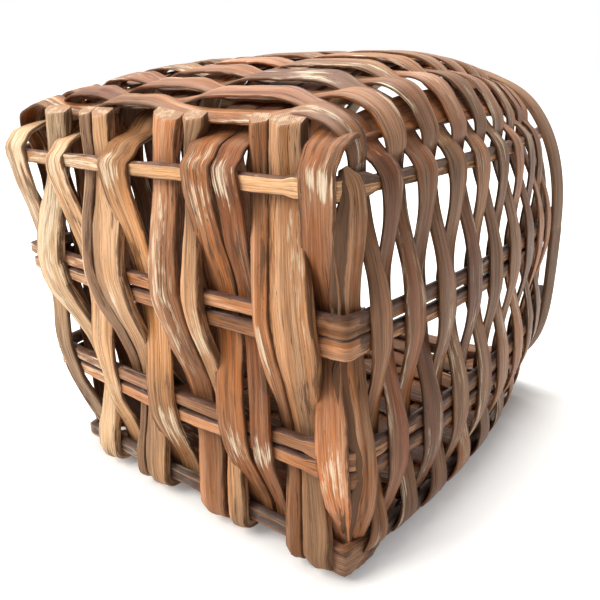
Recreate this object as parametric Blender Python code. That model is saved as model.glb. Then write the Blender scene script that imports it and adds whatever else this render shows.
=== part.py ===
# Square-bottomed splint basket resting on one side wall, mouth to the back.
# Base panel faces -Y, walls run to the mouth at +Y, floor under the lowest bands.
# Every length below is in metres.
import bpy
import bmesh
import math
from mathutils import Vector

# Body of the basket: widths and heights of the wall at the base, half way and at the mouth
BODY_DEPTH = 0.439
BASE_WIDTH = 0.386
BELLY_WIDTH = 0.401
MOUTH_WIDTH = 0.316
BASE_HEIGHT = 0.335
BELLY_HEIGHT = 0.380
MOUTH_HEIGHT = 0.364
BASE_SHIFT = -0.003
BELLY_SHIFT = -0.007
MOUTH_SHIFT = 0.007
BASE_LEAN = -0.054
BELLY_LEAN = -0.027
MOUTH_LEAN = 0.008
MOUTH_LIFT = 0.018
BASE_FLARE = 0.036
BASE_BOW = 0.009

# How square the wall section is: 2 is an ellipse, larger is squarer
UPPER_SQUARENESS = (9.0, 4.3, 2.4)
LOWER_RIGHT_SQUARENESS = (9.0, 7.5, 4.2)
LOWER_LEFT_SQUARENESS = (6.5, 6.0, 2.6)

# Rods: a top rod, two pairs and a rim rod; heights above the foot of the wall
ROD_DIAMETER = 0.013
TOP_ROD_HEIGHT = 0.2975
MIDDLE_PAIR_HEIGHT = 0.1955
LOWER_PAIR_HEIGHT = 0.0955
RIM_ROD_HEIGHT = 0.0165
PAIR_GAP = 0.0022
ROD_CORNER_RADIUS = 0.006
ROD_SIDES_STEP = 2
WALL_ROD_STEPS = 10
BASE_ROD_STEPS = 4

# Flat splints that run from the mouth down the base and back to the mouth
SPLINT_THICKNESS = 0.004
SHOULDER_RADIUS = 0.020
FOOT_INSET = 0.003
FOOT_LIFT = 0.005

# Half-round staves of the base only
STAVE_THICKNESS = 0.008
STUB_HEIGHT = 0.341
STAVE_TAIL_LENGTH = 0.012
STAVE_TAIL_DROP = 0.004
STAVE_TAIL_TAPER = 0.9

# Bands woven round the walls
BAND_COUNT = 18
BAND_THICKNESS = 0.004
BAND_GAP = 0.0022
FIRST_BAND_ROOM = 0.0
FIRST_BAND_PULL = 0.0105
FIRST_BAND_STEP = 0.0180
BAND_STEP = 0.0238
LAST_BAND_STEP = 0.0150
BAND_STEP_CHANGE = 0.0025

# The rim rod is thicker below where it is folded round the right corner
HEEL_LENGTH = 0.0165
HEEL_DROP = 0.009

# Hoops of the mouth
HOOP_WIDTH = 0.018
HOOP_THICKNESS = 0.005
HOOP_INSET = 0.006
HOOP_STEPS = 36

# Air left between two pieces that touch
ROD_CLEARANCE = 0.0019
BAND_CLEARANCE = 0.0015
HOOP_CLEARANCE = 0.0052
SHOULDER_MARGIN = 0.034
FOOT_MARGIN = 0.028

# The thirteen splints and staves side by side across the base, left to right: name,
# whether it is a stave, then its left and right edge, from the middle of the panel,
# at the crown, the top rod, the middle pair, the lower pair and the rim rod
LANES = (
    ("long_splint_6", False,
     (-0.221, -0.198), (-0.221, -0.198), (-0.196, -0.174), (-0.163, -0.141), (-0.133, -0.113)),
    ("base_stave_7", True,
     (-0.176, -0.140), (-0.181, -0.151), (-0.180, -0.143), (-0.124, -0.103), (-0.114, -0.085)),
    ("long_splint_5", False,
     (-0.133, -0.110), (-0.146, -0.124), (-0.123, -0.092), (-0.093, -0.071), (-0.083, -0.059)),
    ("base_stave_6", True,
     (-0.120, -0.101), (-0.117, -0.100), (-0.096, -0.078), (-0.064, -0.050), (-0.052, -0.037)),
    ("base_stave_5", True,
     (-0.100, -0.076), (-0.099, -0.081), (-0.077, -0.038), (-0.049, -0.033), (-0.036, -0.007)),
    ("long_splint_4", False,
     (-0.050, -0.010), (-0.063, -0.024), (-0.037, 0.000), (-0.020, 0.016), (-0.010, 0.021)),
    ("base_stave_4", True,
     (-0.015, 0.017), (-0.017, 0.011), (0.001, 0.036), (0.018, 0.046), (0.037, 0.069)),
    ("base_stave_3", True,
     (0.021, 0.042), (0.021, 0.037), (0.038, 0.058), (0.050, 0.063), (0.073, 0.088)),
    ("long_splint_3", False,
     (0.051, 0.083), (0.043, 0.075), (0.054, 0.083), (0.070, 0.102), (0.086, 0.114)),
    ("long_splint_2", False,
     (0.084, 0.102), (0.076, 0.098), (0.087, 0.107), (0.106, 0.128), (0.1155, 0.1295)),
    ("base_stave_2", True,
     (0.091, 0.109), (0.092, 0.108), (0.115, 0.129), (0.123, 0.132), (0.135, 0.148)),
    ("base_stave_1", True,
     (0.110, 0.141), (0.110, 0.140), (0.131, 0.168), (0.134, 0.157), (0.151, 0.1685)),
    ("long_splint_1", False,
     (0.156, 0.184), (0.155, 0.184), (0.156, 0.178), (0.172, 0.198), (0.176, 0.192)),
)

# Width of the base panel for which the edges above are given
LANE_BASE_WIDTH = 0.386

# Flat splints that lie close together and are woven as one
WOVEN_TOGETHER = (
    ("long_splint_6",),
    ("long_splint_5",),
    ("long_splint_4",),
    ("long_splint_3", "long_splint_2"),
    ("long_splint_1",),
)

ROD_RADIUS = ROD_DIAMETER / 2
PAIR_STEP = ROD_DIAMETER + PAIR_GAP
FIRST_BAND_DEPTH = ROD_RADIUS + STAVE_THICKNESS + FIRST_BAND_ROOM
SPLINT_REACH = ROD_RADIUS + ROD_CLEARANCE + SPLINT_THICKNESS / 2
STAVE_REACH = ROD_RADIUS + ROD_CLEARANCE + STAVE_THICKNESS / 2
BAND_ROD_REACH = ROD_RADIUS + ROD_CLEARANCE + BAND_THICKNESS / 2
BAND_SPLINT_REACH = (SPLINT_THICKNESS + BAND_THICKNESS) / 2 + BAND_CLEARANCE
HOOP_REACH = ROD_RADIUS + HOOP_CLEARANCE + HOOP_THICKNESS / 2
PAIR_HALF = PAIR_STEP / 2
LANE_LEVELS = (
    STUB_HEIGHT,
    TOP_ROD_HEIGHT,
    MIDDLE_PAIR_HEIGHT,
    LOWER_PAIR_HEIGHT,
    RIM_ROD_HEIGHT,
)
ROD_HEIGHTS = (
    ("rod_top", TOP_ROD_HEIGHT),
    ("rod_middle_upper", MIDDLE_PAIR_HEIGHT + PAIR_HALF),
    ("rod_middle_lower", MIDDLE_PAIR_HEIGHT - PAIR_HALF),
    ("rod_lower_upper", LOWER_PAIR_HEIGHT + PAIR_HALF),
    ("rod_lower_lower", LOWER_PAIR_HEIGHT - PAIR_HALF),
    ("rod_rim", RIM_ROD_HEIGHT),
)
ROD_GROUPS = (
    (TOP_ROD_HEIGHT,),
    (MIDDLE_PAIR_HEIGHT + PAIR_HALF, MIDDLE_PAIR_HEIGHT - PAIR_HALF),
    (LOWER_PAIR_HEIGHT + PAIR_HALF, LOWER_PAIR_HEIGHT - PAIR_HALF),
    (RIM_ROD_HEIGHT,),
)
ARC_STEPS = 90
FRAME_STEP = 0.002
WELD_DISTANCE = 0.00005

# Two points of the shoulder of a splint, as shares of its radius: depth and drop
SHOULDER_POINTS = ((0.30, 0.12), (-0.15, 0.55))

# Cross-section of a stave, shares of its half width and half thickness: two flat
# facets outward, a ridge between them and narrow sides
STAVE_SECTION = ((-1.0, -0.9), (1.0, -0.9), (1.0, 0.5), (-0.15, 1.0), (-1.0, 0.3))

# Where the bent corner of a rod has its middle, as a share of its radius
CORNER_SHARE = 0.3

# Where a band swings from one side of the wall to the other between two
# crossings: share of the way and share of the swing
HALF_WAY = ((0.5, 0.5),)
AFTER_ROD = ((0.4, 0.2), (0.6, 0.5), (0.8, 0.85))
BEFORE_ROD = ((0.2, 0.15), (0.4, 0.5), (0.6, 0.8))


def along_depth(base, belly, mouth, depth):
    """One measure of the wall at a depth, through its three named values."""
    t = depth / BODY_DEPTH
    near = base * (1 - t) * (1 - 2 * t)
    return near + 4 * belly * t * (1 - t) + mouth * t * (2 * t - 1)


def foot_level(depth):
    """Height of the foot of the wall, which rises toward the mouth."""
    return MOUTH_LIFT * max(0.0, 2 * depth / BODY_DEPTH - 1) ** 2


def rod_level(height, depth):
    """Height of a rod, of which the lower ones rise with the foot of the wall."""
    return height + foot_level(depth) * (1 - height / BASE_HEIGHT)


def section_point(depth, angle):
    """Point of the wall section at one depth, with the foot of the wall at zero."""
    half_width = along_depth(BASE_WIDTH, BELLY_WIDTH, MOUTH_WIDTH, depth) / 2
    foot = foot_level(depth)
    half_height = (along_depth(BASE_HEIGHT, BELLY_HEIGHT, MOUTH_HEIGHT, depth) - foot) / 2
    lean = along_depth(BASE_LEAN, BELLY_LEAN, MOUTH_LEAN, depth) / 2
    flare = along_depth(BASE_FLARE, 0.0, 0.0, depth) / 2
    shift = along_depth(BASE_SHIFT, BELLY_SHIFT, MOUTH_SHIFT, depth)
    rows = UPPER_SQUARENESS
    if math.sin(angle) < 0:
        rows = LOWER_RIGHT_SQUARENESS if math.cos(angle) >= 0 else LOWER_LEFT_SQUARENESS
    power = along_depth(*rows, depth)
    total = abs(math.cos(angle)) ** power + abs(math.sin(angle)) ** power
    radius = total ** (-1 / power)
    across = radius * math.cos(angle)
    upward = radius * math.sin(angle)
    x = shift + (half_width + flare * upward) * across + lean * upward
    return x, foot + half_height * (1 + upward)


def angle_at_height(depth, height, side):
    """Angle at which the wall on one side (1 right, -1 left) has a height."""
    low = -math.pi / 2
    high = math.pi / 2
    for _ in range(60):
        middle = (low + high) / 2
        angle = middle if side > 0 else math.pi - middle
        if section_point(depth, angle)[1] < height:
            low = middle
        else:
            high = middle
    return low if side > 0 else math.pi - low


def wall_x(depth, height, side):
    return section_point(depth, angle_at_height(depth, height, side))[0]


def rod_place(depth, height, side):
    """Centre of a rod on one wall."""
    level = rod_level(height, depth)
    return Vector((wall_x(depth, level, side), depth, level))


def wall_frame(depth, angle, offset):
    """Point moved outward from the wall, and the outward direction there."""
    x0, z0 = section_point(depth, angle - FRAME_STEP)
    x1, z1 = section_point(depth, angle + FRAME_STEP)
    outward = Vector((z1 - z0, 0.0, x0 - x1)).normalized()
    x, z = section_point(depth, angle)
    return Vector((x, depth, z)) + outward * offset, outward


def arc_table(depth, start, end):
    """Angles and running lengths along the wall section from one angle to another."""
    rows = [(start, 0.0)]
    last = section_point(depth, start)
    for index in range(1, ARC_STEPS + 1):
        angle = start + (end - start) * index / ARC_STEPS
        point = section_point(depth, angle)
        length = rows[-1][1] + math.dist(last, point)
        rows.append((angle, length))
        last = point
    return rows


def angle_at_length(rows, length):
    """Angle at a running length of an arc table."""
    for (a0, l0), (a1, l1) in zip(rows, rows[1:]):
        if l0 <= length <= l1:
            return a0 + (a1 - a0) * (length - l0) / (l1 - l0)
    return rows[-1][0]


def length_of_angle(rows, angle):
    """Running length of an arc table at an angle."""
    for (a0, l0), (a1, l1) in zip(rows, rows[1:]):
        if a0 <= angle <= a1:
            return l0 + (l1 - l0) * (angle - a0) / (a1 - a0)
    return rows[-1][1]


def bow(x, height):
    """How far the base panel bulges out at one place."""
    level = min(max(height, RIM_ROD_HEIGHT), TOP_ROD_HEIGHT)
    left = wall_x(0.0, level, -1)
    right = wall_x(0.0, level, 1)
    across = (2 * x - left - right) / (right - left)
    upward = 2 * height / BASE_HEIGHT - 1
    return BASE_BOW * max(0.0, 1 - across * across) * max(0.0, 1 - upward * upward)


def lane_edges(name, height):
    """Left and right edge of a splint or stave across the base at one height."""
    rows = next(row[2:] for row in LANES if row[0] == name)
    level = min(max(height, LANE_LEVELS[-1]), LANE_LEVELS[0])
    scale = BASE_WIDTH / LANE_BASE_WIDTH
    for index in range(len(rows) - 1):
        above = LANE_LEVELS[index]
        below = LANE_LEVELS[index + 1]
        if below <= level <= above:
            share = (above - level) / (above - below)
            pairs = zip(rows[index], rows[index + 1])
            return tuple(scale * (upper + (lower - upper) * share) for upper, lower in pairs)
    return rows[-1]


def base_path(stave, reach):
    """Heights down the base and the place in front of or behind the rods at each."""
    first = 1 if stave else -1
    path = []
    for number, group in enumerate(ROD_GROUPS):
        sign = first if number % 2 == 0 else -first
        if number > 0:
            above = ROD_GROUPS[number - 1][-1]
            path.append(((above + group[0]) / 2, 0.0))
        path.extend((height, sign * reach) for height in group)
    return path


def collection(name):
    made = bpy.data.collections.new(name)
    bpy.context.scene.collection.children.link(made)
    return made


def finish_mesh(name, mesh_data, colour):
    """Make a closed mesh into a named object with its own material."""
    mesh = bpy.data.meshes.new(name)
    bmesh.ops.recalc_face_normals(mesh_data, faces=mesh_data.faces)
    mesh_data.to_mesh(mesh)
    mesh_data.free()
    made = bpy.data.objects.new(name, mesh)
    BASKET.objects.link(made)
    material = bpy.data.materials.new(name + "_wood")
    material.use_nodes = True
    shader = material.node_tree.nodes["Principled BSDF"]
    shader.inputs["Base Color"].default_value = (*colour, 1.0)
    shader.inputs["Roughness"].default_value = 0.6
    made.data.materials.append(material)
    return made


def sweep(name, stations, profile, colour, closed=False):
    """Map a grid round a profile and along stations, weld its seams and cap its ends.

    A station is a point, the direction across, the outward direction and the
    half width there; a profile point is a share of the half width and a height.
    """
    around = len(profile)
    count = len(stations)
    data = bmesh.new()
    rows = count if closed else count - 1
    bmesh.ops.create_grid(data, x_segments=around, y_segments=rows, size=0.5)
    for vert in data.verts:
        column = round((vert.co.x + 0.5) * around) % around
        row = round((vert.co.y + 0.5) * rows) % count
        point, across, outward, half = stations[row]
        share, height = profile[column]
        vert.co = point + across * (share * half) + outward * height
    bmesh.ops.remove_doubles(data, verts=data.verts, dist=WELD_DISTANCE)
    if not closed:
        rims = [edge for edge in data.edges if edge.is_boundary]
        bmesh.ops.holes_fill(data, edges=rims, sides=around)
    return finish_mesh(name, data, colour)


def flat_profile(thickness):
    half = thickness / 2
    return ((-1.0, -half), (1.0, -half), (1.0, half), (-1.0, half))


def half_round_profile(thickness):
    half = thickness / 2
    return tuple((share, half * height) for share, height in STAVE_SECTION)


def lower_heel(data, corner):
    """Lower the underside of the rim rod round the right corner."""
    for vert in data.verts:
        away = max(corner.x - vert.co.x, vert.co.y - corner.y)
        if away < HEEL_LENGTH + ROD_RADIUS / 4 and vert.co.z < corner.z - ROD_RADIUS / 4:
            vert.co.z -= HEEL_DROP


def make_rod(name, height):
    """A round rod along the left wall, across the base and along the right wall."""
    reach = BODY_DEPTH - HOOP_INSET
    corner = ROD_CORNER_RADIUS
    heel_end = HEEL_LENGTH + HEEL_DROP
    wall = [corner, HEEL_LENGTH]
    for index in range(WALL_ROD_STEPS + 1):
        wall.append(heel_end + (reach - heel_end) * index / WALL_ROD_STEPS)
    left = wall_x(0.0, height, -1)
    right = wall_x(0.0, height, 1)
    points = [rod_place(depth, height, -1) for depth in reversed(wall)]
    bend = corner * CORNER_SHARE
    points.append(Vector((left + bend, bend, height)))
    straight = right - left - 2 * corner
    across = [left + corner + straight * index / BASE_ROD_STEPS for index in range(BASE_ROD_STEPS)]
    for x in across + [right - heel_end, right - HEEL_LENGTH, right - corner]:
        points.append(Vector((x, -bow(x, height), height)))
    points.append(Vector((right - bend, bend, height)))
    points.extend(rod_place(depth, height, 1) for depth in wall)
    curve = bpy.data.curves.new(name, "CURVE")
    curve.dimensions = "3D"
    curve.bevel_depth = ROD_RADIUS
    curve.bevel_resolution = ROD_SIDES_STEP
    curve.use_fill_caps = True
    spline = curve.splines.new("POLY")
    spline.points.add(len(points) - 1)
    for target, point in zip(spline.points, points):
        target.co = (*point, 1.0)
    holder = bpy.data.objects.new(name + "_path", curve)
    BASKET.objects.link(holder)
    bpy.context.view_layer.update()
    depsgraph = bpy.context.evaluated_depsgraph_get()
    mesh = bpy.data.meshes.new_from_object(holder.evaluated_get(depsgraph))
    data = bmesh.new()
    data.from_mesh(mesh)
    bmesh.ops.remove_doubles(data, verts=data.verts, dist=WELD_DISTANCE)
    bpy.data.objects.remove(holder)
    bpy.data.curves.remove(curve)
    bpy.data.meshes.remove(mesh)
    if height == RIM_ROD_HEIGHT:
        lower_heel(data, Vector((right, 0.0, height)))
    return finish_mesh(name, data, (0.28, 0.17, 0.12))


def base_station(name, height, place):
    """Middle and half width of a splint or stave on the base panel."""
    left, right = lane_edges(name, height)
    x = (left + right) / 2
    return Vector((x, place - bow(x, height), height)), (right - left) / 2


def directions(points):
    """Direction along a row of points at each point."""
    along = []
    for index in range(len(points)):
        before = points[max(index - 1, 0)]
        after = points[min(index + 1, len(points) - 1)]
        along.append((after - before).normalized())
    return along


def make_stave(name):
    """A stave of the base, sawn off above the top rod and folded under the rim rod."""
    points = []
    halves = []
    first, half = base_station(name, STUB_HEIGHT, STAVE_REACH)
    points.append(first)
    halves.append(half)
    for height, place in base_path(True, STAVE_REACH):
        point, half = base_station(name, height, place)
        points.append(point)
        halves.append(half)
    foot = points[-1].copy()
    fall = STAVE_REACH + STAVE_TAIL_DROP
    under = foot + Vector((0.0, STAVE_REACH, -fall))
    points.append(foot + Vector((0.0, STAVE_REACH / 4, -fall * 3 / 4)))
    points.append(under)
    points.append(under + Vector((0.0, STAVE_TAIL_LENGTH - STAVE_REACH / 2, 0.0)))
    end = halves[-1] * STAVE_TAIL_TAPER
    halves.extend([halves[-1], (halves[-1] + end) / 2, end])
    stations = []
    ways = directions(points)
    for index, (point, half) in enumerate(zip(points, halves)):
        way = ways[index]
        turned = Vector((0.0, way.z, -way.y)).normalized()
        stations.append((point, Vector((1.0, 0.0, 0.0)), turned, half))
    return sweep(name, stations, half_round_profile(STAVE_THICKNESS), (0.45, 0.27, 0.15))


def wall_table(depth, upper):
    """Arc table over the top or under the bottom, from the left wall to the right."""
    height = rod_level(TOP_ROD_HEIGHT if upper else RIM_ROD_HEIGHT, depth)
    start = angle_at_height(depth, height, -1)
    end = angle_at_height(depth, height, 1)
    if not upper:
        end += 2 * math.pi
    return arc_table(depth, start, end)


def lane_shares(upper):
    """Share of the way across at which every lane begins and ends."""
    height = TOP_ROD_HEIGHT if upper else RIM_ROD_HEIGHT
    edges = {row[0]: lane_edges(row[0], height) for row in LANES}
    left = edges[LANES[0][0]][0]
    right = edges[LANES[-1][0]][1]
    span = right - left
    return {name: ((a - left) / span, (b - left) / span) for name, (a, b) in edges.items()}


UPPER_SHARES = lane_shares(True)
LOWER_SHARES = lane_shares(False)


def lane_angles(name, table, upper):
    """Angles of the two edges of a long splint on the top or the bottom wall."""
    margin = SHOULDER_MARGIN if upper else FOOT_MARGIN
    room = table[-1][1] - 2 * margin
    shares = (UPPER_SHARES if upper else LOWER_SHARES)[name]
    return tuple(angle_at_length(table, margin + room * share) for share in shares)


def lane_chord(name, depth, upper):
    """The two edges of a long splint on a wall and the outward direction there."""
    angles = lane_angles(name, wall_table(depth, upper), upper)
    left, right = (wall_frame(depth, angle, 0.0)[0] for angle in angles)
    way = (right - left).normalized()
    outward = Vector((-way.z, 0.0, way.x)) if upper else Vector((way.z, 0.0, -way.x))
    return left, right, outward


def band_rows():
    """Depth on the side walls, shift on the top and bottom and half width of every band."""
    last = BAND_COUNT - 1
    steps = []
    for index in range(last):
        near = FIRST_BAND_STEP + BAND_STEP_CHANGE * index
        far = LAST_BAND_STEP + BAND_STEP_CHANGE * (last - 1 - index)
        steps.append(min(near, BAND_STEP, far))
    depth = FIRST_BAND_DEPTH
    rows = []
    for index in range(BAND_COUNT):
        room = min(steps[max(index - 1, 0)], steps[min(index, last - 1)])
        pull = FIRST_BAND_PULL * (1 - index / last)
        rows.append((depth, pull, (room - BAND_GAP) / 2))
        depth += steps[min(index, last - 1)]
    return rows


def chord_station(name, depth, upper):
    """Station of a long splint on the top or the bottom wall."""
    left, right, outward = lane_chord(name, depth, upper)
    across = (right - left).normalized()
    return (left + right) / 2, across, outward, (right - left).length / 2


def make_long_splint(name):
    """A flat splint from the mouth, over the shoulder, down the base and back."""
    reach = BODY_DEPTH - HOOP_INSET
    inner = [depth + pull for depth, pull, _ in band_rows()]
    stations = [chord_station(name, depth, True) for depth in [reach] + inner[::-1]]
    front = []
    halves = []
    across = []
    for depth, drop in SHOULDER_POINTS:
        point, way, _, half = chord_station(name, max(depth, 0.0) * SHOULDER_RADIUS, True)
        point.y = SHOULDER_RADIUS * depth
        point.z -= SHOULDER_RADIUS * drop
        front.append(point)
        across.append(way)
        halves.append(half)
    for height, place in base_path(False, SPLINT_REACH):
        point, half = base_station(name, height, place)
        front.append(point)
        halves.append(half)
    across.extend([Vector((1.0, 0.0, 0.0))] * (len(front) - len(across)))
    low, way, _, half = chord_station(name, front[-1].y + FOOT_INSET, False)
    low.z += FOOT_LIFT
    front.append(low)
    across.append(way)
    halves.append(half)
    under = chord_station(name, inner[0], False)
    edge = [stations[-1][0]] + front + [under[0]]
    ways = directions(edge)
    for point, way, width_way, half in zip(edge[1:-1], ways[1:-1], across, halves):
        outward = width_way.cross(way).normalized()
        stations.append((point, width_way, outward, half))
    stations.extend(chord_station(name, depth, False) for depth in inner + [reach])
    return sweep(name, stations, flat_profile(SPLINT_THICKNESS), (0.55, 0.32, 0.16))


def square_to(outward, across):
    """The outward direction turned square to the width of a band."""
    return (outward - across * outward.dot(across)).normalized()


def crossings(side_depth, pull, half):
    """Places round the wall where a band crosses something.

    They go down the right wall, along the bottom, up the left wall and along the
    top. A row is the turned angle, the number of the crossing, whether a rod is
    crossed, the point, the direction across the band and the outward direction.
    """
    rows = []
    number = 0
    depth = side_depth + pull
    tables = {upper: wall_table(depth, upper) for upper in (True, False)}

    def add_rod_group(group, side):
        for height in group:
            level = side_depth
            angle = angle_at_height(level, rod_level(height, level), side)
            point, outward = wall_frame(level, angle, 0.0)
            ahead = rod_place(level + half, height, side)
            behind = rod_place(level - half, height, side)
            across = (ahead - behind).normalized()
            rows.append((angle, number, True, point, across, square_to(outward, across)))

    def add_lanes(names, upper):
        for name in names:
            angles = lane_angles(name, tables[upper], upper)
            here = lane_chord(name, depth, upper)
            ahead = lane_chord(name, depth + half, upper)
            behind = lane_chord(name, depth - half, upper)
            for side in (0, 1) if upper else (1, 0):
                across = (ahead[side] - behind[side]).normalized()
                outward = square_to(here[2], across)
                rows.append((angles[side], number, False, here[side], across, outward))

    for group in ROD_GROUPS:
        add_rod_group(group, 1)
        number += 1
    for names in reversed(WOVEN_TOGETHER):
        add_lanes(reversed(names), False)
        number += 1
    for group in reversed(ROD_GROUPS):
        add_rod_group(tuple(reversed(group)), -1)
        number += 1
    for names in WOVEN_TOGETHER:
        add_lanes(names, True)
        number += 1
    return rows


def make_band(index, side_depth, pull, half):
    """A woven band round the four walls."""
    parity = 1 if index % 2 == 0 else -1
    rows = []
    for angle, number, rod, point, across, outward in crossings(side_depth, pull, half):
        sign = parity if number % 2 == 0 else -parity
        if index == 0 and not rod:
            sign = 1
        offset = sign * (BAND_ROD_REACH if rod else BAND_SPLINT_REACH)
        rows.append((angle, offset, rod, point, across, outward))
    stations = []
    for row, follow in zip(rows, rows[1:] + rows[:1]):
        angle, offset, rod, point, across, outward = row
        stations.append((point + outward * offset, across, outward, half))
        level = side_depth + (0.0 if rod and follow[2] else pull)
        end = follow[0]
        while end > angle + 1e-6:
            end -= 2 * math.pi
        while end < angle - 2 * math.pi:
            end += 2 * math.pi
        shares = ()
        if rod and follow[2] and offset * follow[1] < 0:
            shares = HALF_WAY
        if rod and not follow[2]:
            shares = AFTER_ROD
        if follow[2] and not rod:
            shares = BEFORE_ROD
        table = arc_table(level, angle, end) if shares else None
        for share, blend in shares:
            between = angle_at_length(table, table[-1][1] * share)
            moved = offset + (follow[1] - offset) * blend
            here, away = wall_frame(level, between, moved)
            ahead = wall_frame(level + half, between, moved)[0]
            behind = wall_frame(level - half, between, moved)[0]
            width_way = (ahead - behind).normalized()
            stations.append((here, width_way, square_to(away, width_way), half))
    name = "ring_band_%02d" % (index + 1)
    return sweep(name, stations, flat_profile(BAND_THICKNESS), (0.42, 0.24, 0.15), closed=True)


def make_hoop(name, offset):
    """A hoop round the mouth, with a place of its own at every rod."""
    depth = BODY_DEPTH - HOOP_INSET - HOOP_WIDTH / 2
    levels = [rod_level(height, depth) for _, height in ROD_HEIGHTS]
    angles = [angle_at_height(depth, level, 1) for level in levels]
    angles += [angle_at_height(depth, level, -1) for level in levels]
    angles = [angle % (2 * math.pi) for angle in angles]
    table = arc_table(depth, 0.0, 2 * math.pi)
    room = table[-1][1] / HOOP_STEPS / 3
    near = [length_of_angle(table, angle) for angle in angles]
    for index in range(HOOP_STEPS):
        length = table[-1][1] * index / HOOP_STEPS
        if min(abs(length - other) for other in near) > room:
            angles.append(angle_at_length(table, length))
    stations = []
    for angle in sorted(angles):
        point, outward = wall_frame(depth, angle, offset)
        stations.append((point, Vector((0.0, 1.0, 0.0)), outward, HOOP_WIDTH / 2))
    return sweep(name, stations, flat_profile(HOOP_THICKNESS), (0.35, 0.22, 0.14), closed=True)


def stand_on_floor():
    """Put the lowest point on the floor and the middle of the whole at the origin."""
    corners = [vert.co for made in BASKET.objects for vert in made.data.vertices]
    low = Vector([min(point[axis] for point in corners) for axis in range(3)])
    high = Vector([max(point[axis] for point in corners) for axis in range(3)])
    shift = Vector((-(low.x + high.x) / 2, -(low.y + high.y) / 2, -low.z))
    for made in BASKET.objects:
        for vert in made.data.vertices:
            vert.co += shift


for old in list(bpy.data.objects):
    bpy.data.objects.remove(old)
BASKET = collection("splint_basket")
for rod_name, rod_height in ROD_HEIGHTS:
    make_rod(rod_name, rod_height)
for lane_name, is_stave, *_ in LANES:
    if is_stave:
        make_stave(lane_name)
    else:
        make_long_splint(lane_name)
for band_index, band_row in enumerate(band_rows()):
    make_band(band_index, *band_row)
make_hoop("mouth_hoop_outer", HOOP_REACH)
make_hoop("mouth_hoop_inner", -HOOP_REACH)
stand_on_floor()
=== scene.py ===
import bpy
import bmesh
import math
import numpy as np
from mathutils import Matrix, Vector


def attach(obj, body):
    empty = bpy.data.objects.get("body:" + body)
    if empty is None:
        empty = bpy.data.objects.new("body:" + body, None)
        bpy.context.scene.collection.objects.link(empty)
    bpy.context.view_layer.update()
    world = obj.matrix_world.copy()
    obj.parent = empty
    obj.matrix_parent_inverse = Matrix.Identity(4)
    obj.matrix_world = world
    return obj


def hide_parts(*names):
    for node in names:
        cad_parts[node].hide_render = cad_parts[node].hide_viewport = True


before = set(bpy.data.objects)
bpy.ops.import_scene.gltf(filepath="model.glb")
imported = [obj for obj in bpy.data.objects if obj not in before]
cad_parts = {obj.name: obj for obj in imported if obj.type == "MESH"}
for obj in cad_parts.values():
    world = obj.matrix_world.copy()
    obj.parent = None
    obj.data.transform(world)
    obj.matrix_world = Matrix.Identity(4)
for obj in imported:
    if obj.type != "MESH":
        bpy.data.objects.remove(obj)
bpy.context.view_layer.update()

bl_info = {
    "name": "Square-bottomed splint basket",
    "version": (1, 0, 0),
    "blender": (4, 5, 0),
    "location": "3D View > Sidebar > Basket",
    "description": "Riven splints, half-round staves and split rods woven into a basket on its side",
    "category": "Object",
}

# Sizes of the wall in metres, as in the frame: at the base, at the belly and at the mouth
BODY_DEPTH = 0.439
WIDTHS = (0.386, 0.401, 0.316)
HEIGHTS = (0.335, 0.380, 0.364)
SHIFTS = (-0.003, -0.007, 0.007)
LEANS = (-0.054, -0.027, 0.008)
FLARES = (0.036, 0.0, 0.0)
MOUTH_LIFT = 0.018
BASE_BOW = 0.009
UPPER_SQUARE = (9.0, 4.3, 2.4)
LOWER_RIGHT_SQUARE = (9.0, 7.5, 4.2)
LOWER_LEFT_SQUARE = (6.5, 6.0, 2.6)
HOOP_INSET = 0.006

# Where the middle of the base panel's foot is in the frame
PANEL_PLACE = np.array((0.012605, -0.205853, 0.007534))

# Rods: radius and heights on the base panel
ROD_RADIUS = 0.0065
PAIR_GAP = 0.0022
TOP_ROD = 0.2975
MIDDLE_PAIR = 0.1955
LOWER_PAIR = 0.0955
RIM_ROD = 0.0165
PAIR_HALF = (2 * ROD_RADIUS + PAIR_GAP) / 2
ROD_ROWS = (
    (TOP_ROD,),
    (MIDDLE_PAIR + PAIR_HALF, MIDDLE_PAIR - PAIR_HALF),
    (LOWER_PAIR + PAIR_HALF, LOWER_PAIR - PAIR_HALF),
    (RIM_ROD,),
)
RODS = (
    ("rod_top", ROD_ROWS[0][0]),
    ("rod_middle_upper", ROD_ROWS[1][0]),
    ("rod_middle_lower", ROD_ROWS[1][1]),
    ("rod_lower_upper", ROD_ROWS[2][0]),
    ("rod_lower_lower", ROD_ROWS[2][1]),
    ("rod_rim", ROD_ROWS[3][0]),
)

# Bands: depth and shift of the first one, the steps from one to the next, and the widths
BAND_COUNT = 18
FIRST_BAND_DEPTH = 0.0145
FIRST_BAND_PULL = 0.0105
FIRST_BAND_STEP = 0.0180
BAND_STEP = 0.0238
LAST_BAND_STEP = 0.0150
BAND_STEP_CHANGE = 0.0025
BAND_GAP = 0.0022
BAND_LEAST_HALF = 0.0088

# A band leans forward on the lower wall and is drawn back to the base on the top wall
BAND_SLANT = 0.045
TOP_DRAWN_BACK = 0.014

# The strip at the near corner is the first band's open end: half-round, turned toward the
# base panel by an angle in degrees, with a broad inner side
CORNER_LEAN = 34.0
CORNER_THICKNESS = 0.0062
CORNER_HALF = 0.0080
CORNER_SIDE = 0.0075
CORNER_PULL = 0.0080
CORNER_LENGTH = 0.30
CORNER_STANDS_OFF = 0.0014
CORNER_TIP = 0.010
CORNER_SEED = 340
CORNER_BAND_END = 1.35 * math.pi

# On the top wall the bands are wider and stand off the splints that they cross, and on the
# two walls away from the light they are wider too
TOP_BAND_WIDENING = 0.16
TOP_BAND_ARCH = 0.0022
HIDDEN_BAND_WIDENING = 0.16

# A band is widest at its crossings and narrower between them
BAND_SPREAD = 1.30
BETWEEN_NARROWING = 0.34
BETWEEN_REACH = 0.036

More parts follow.
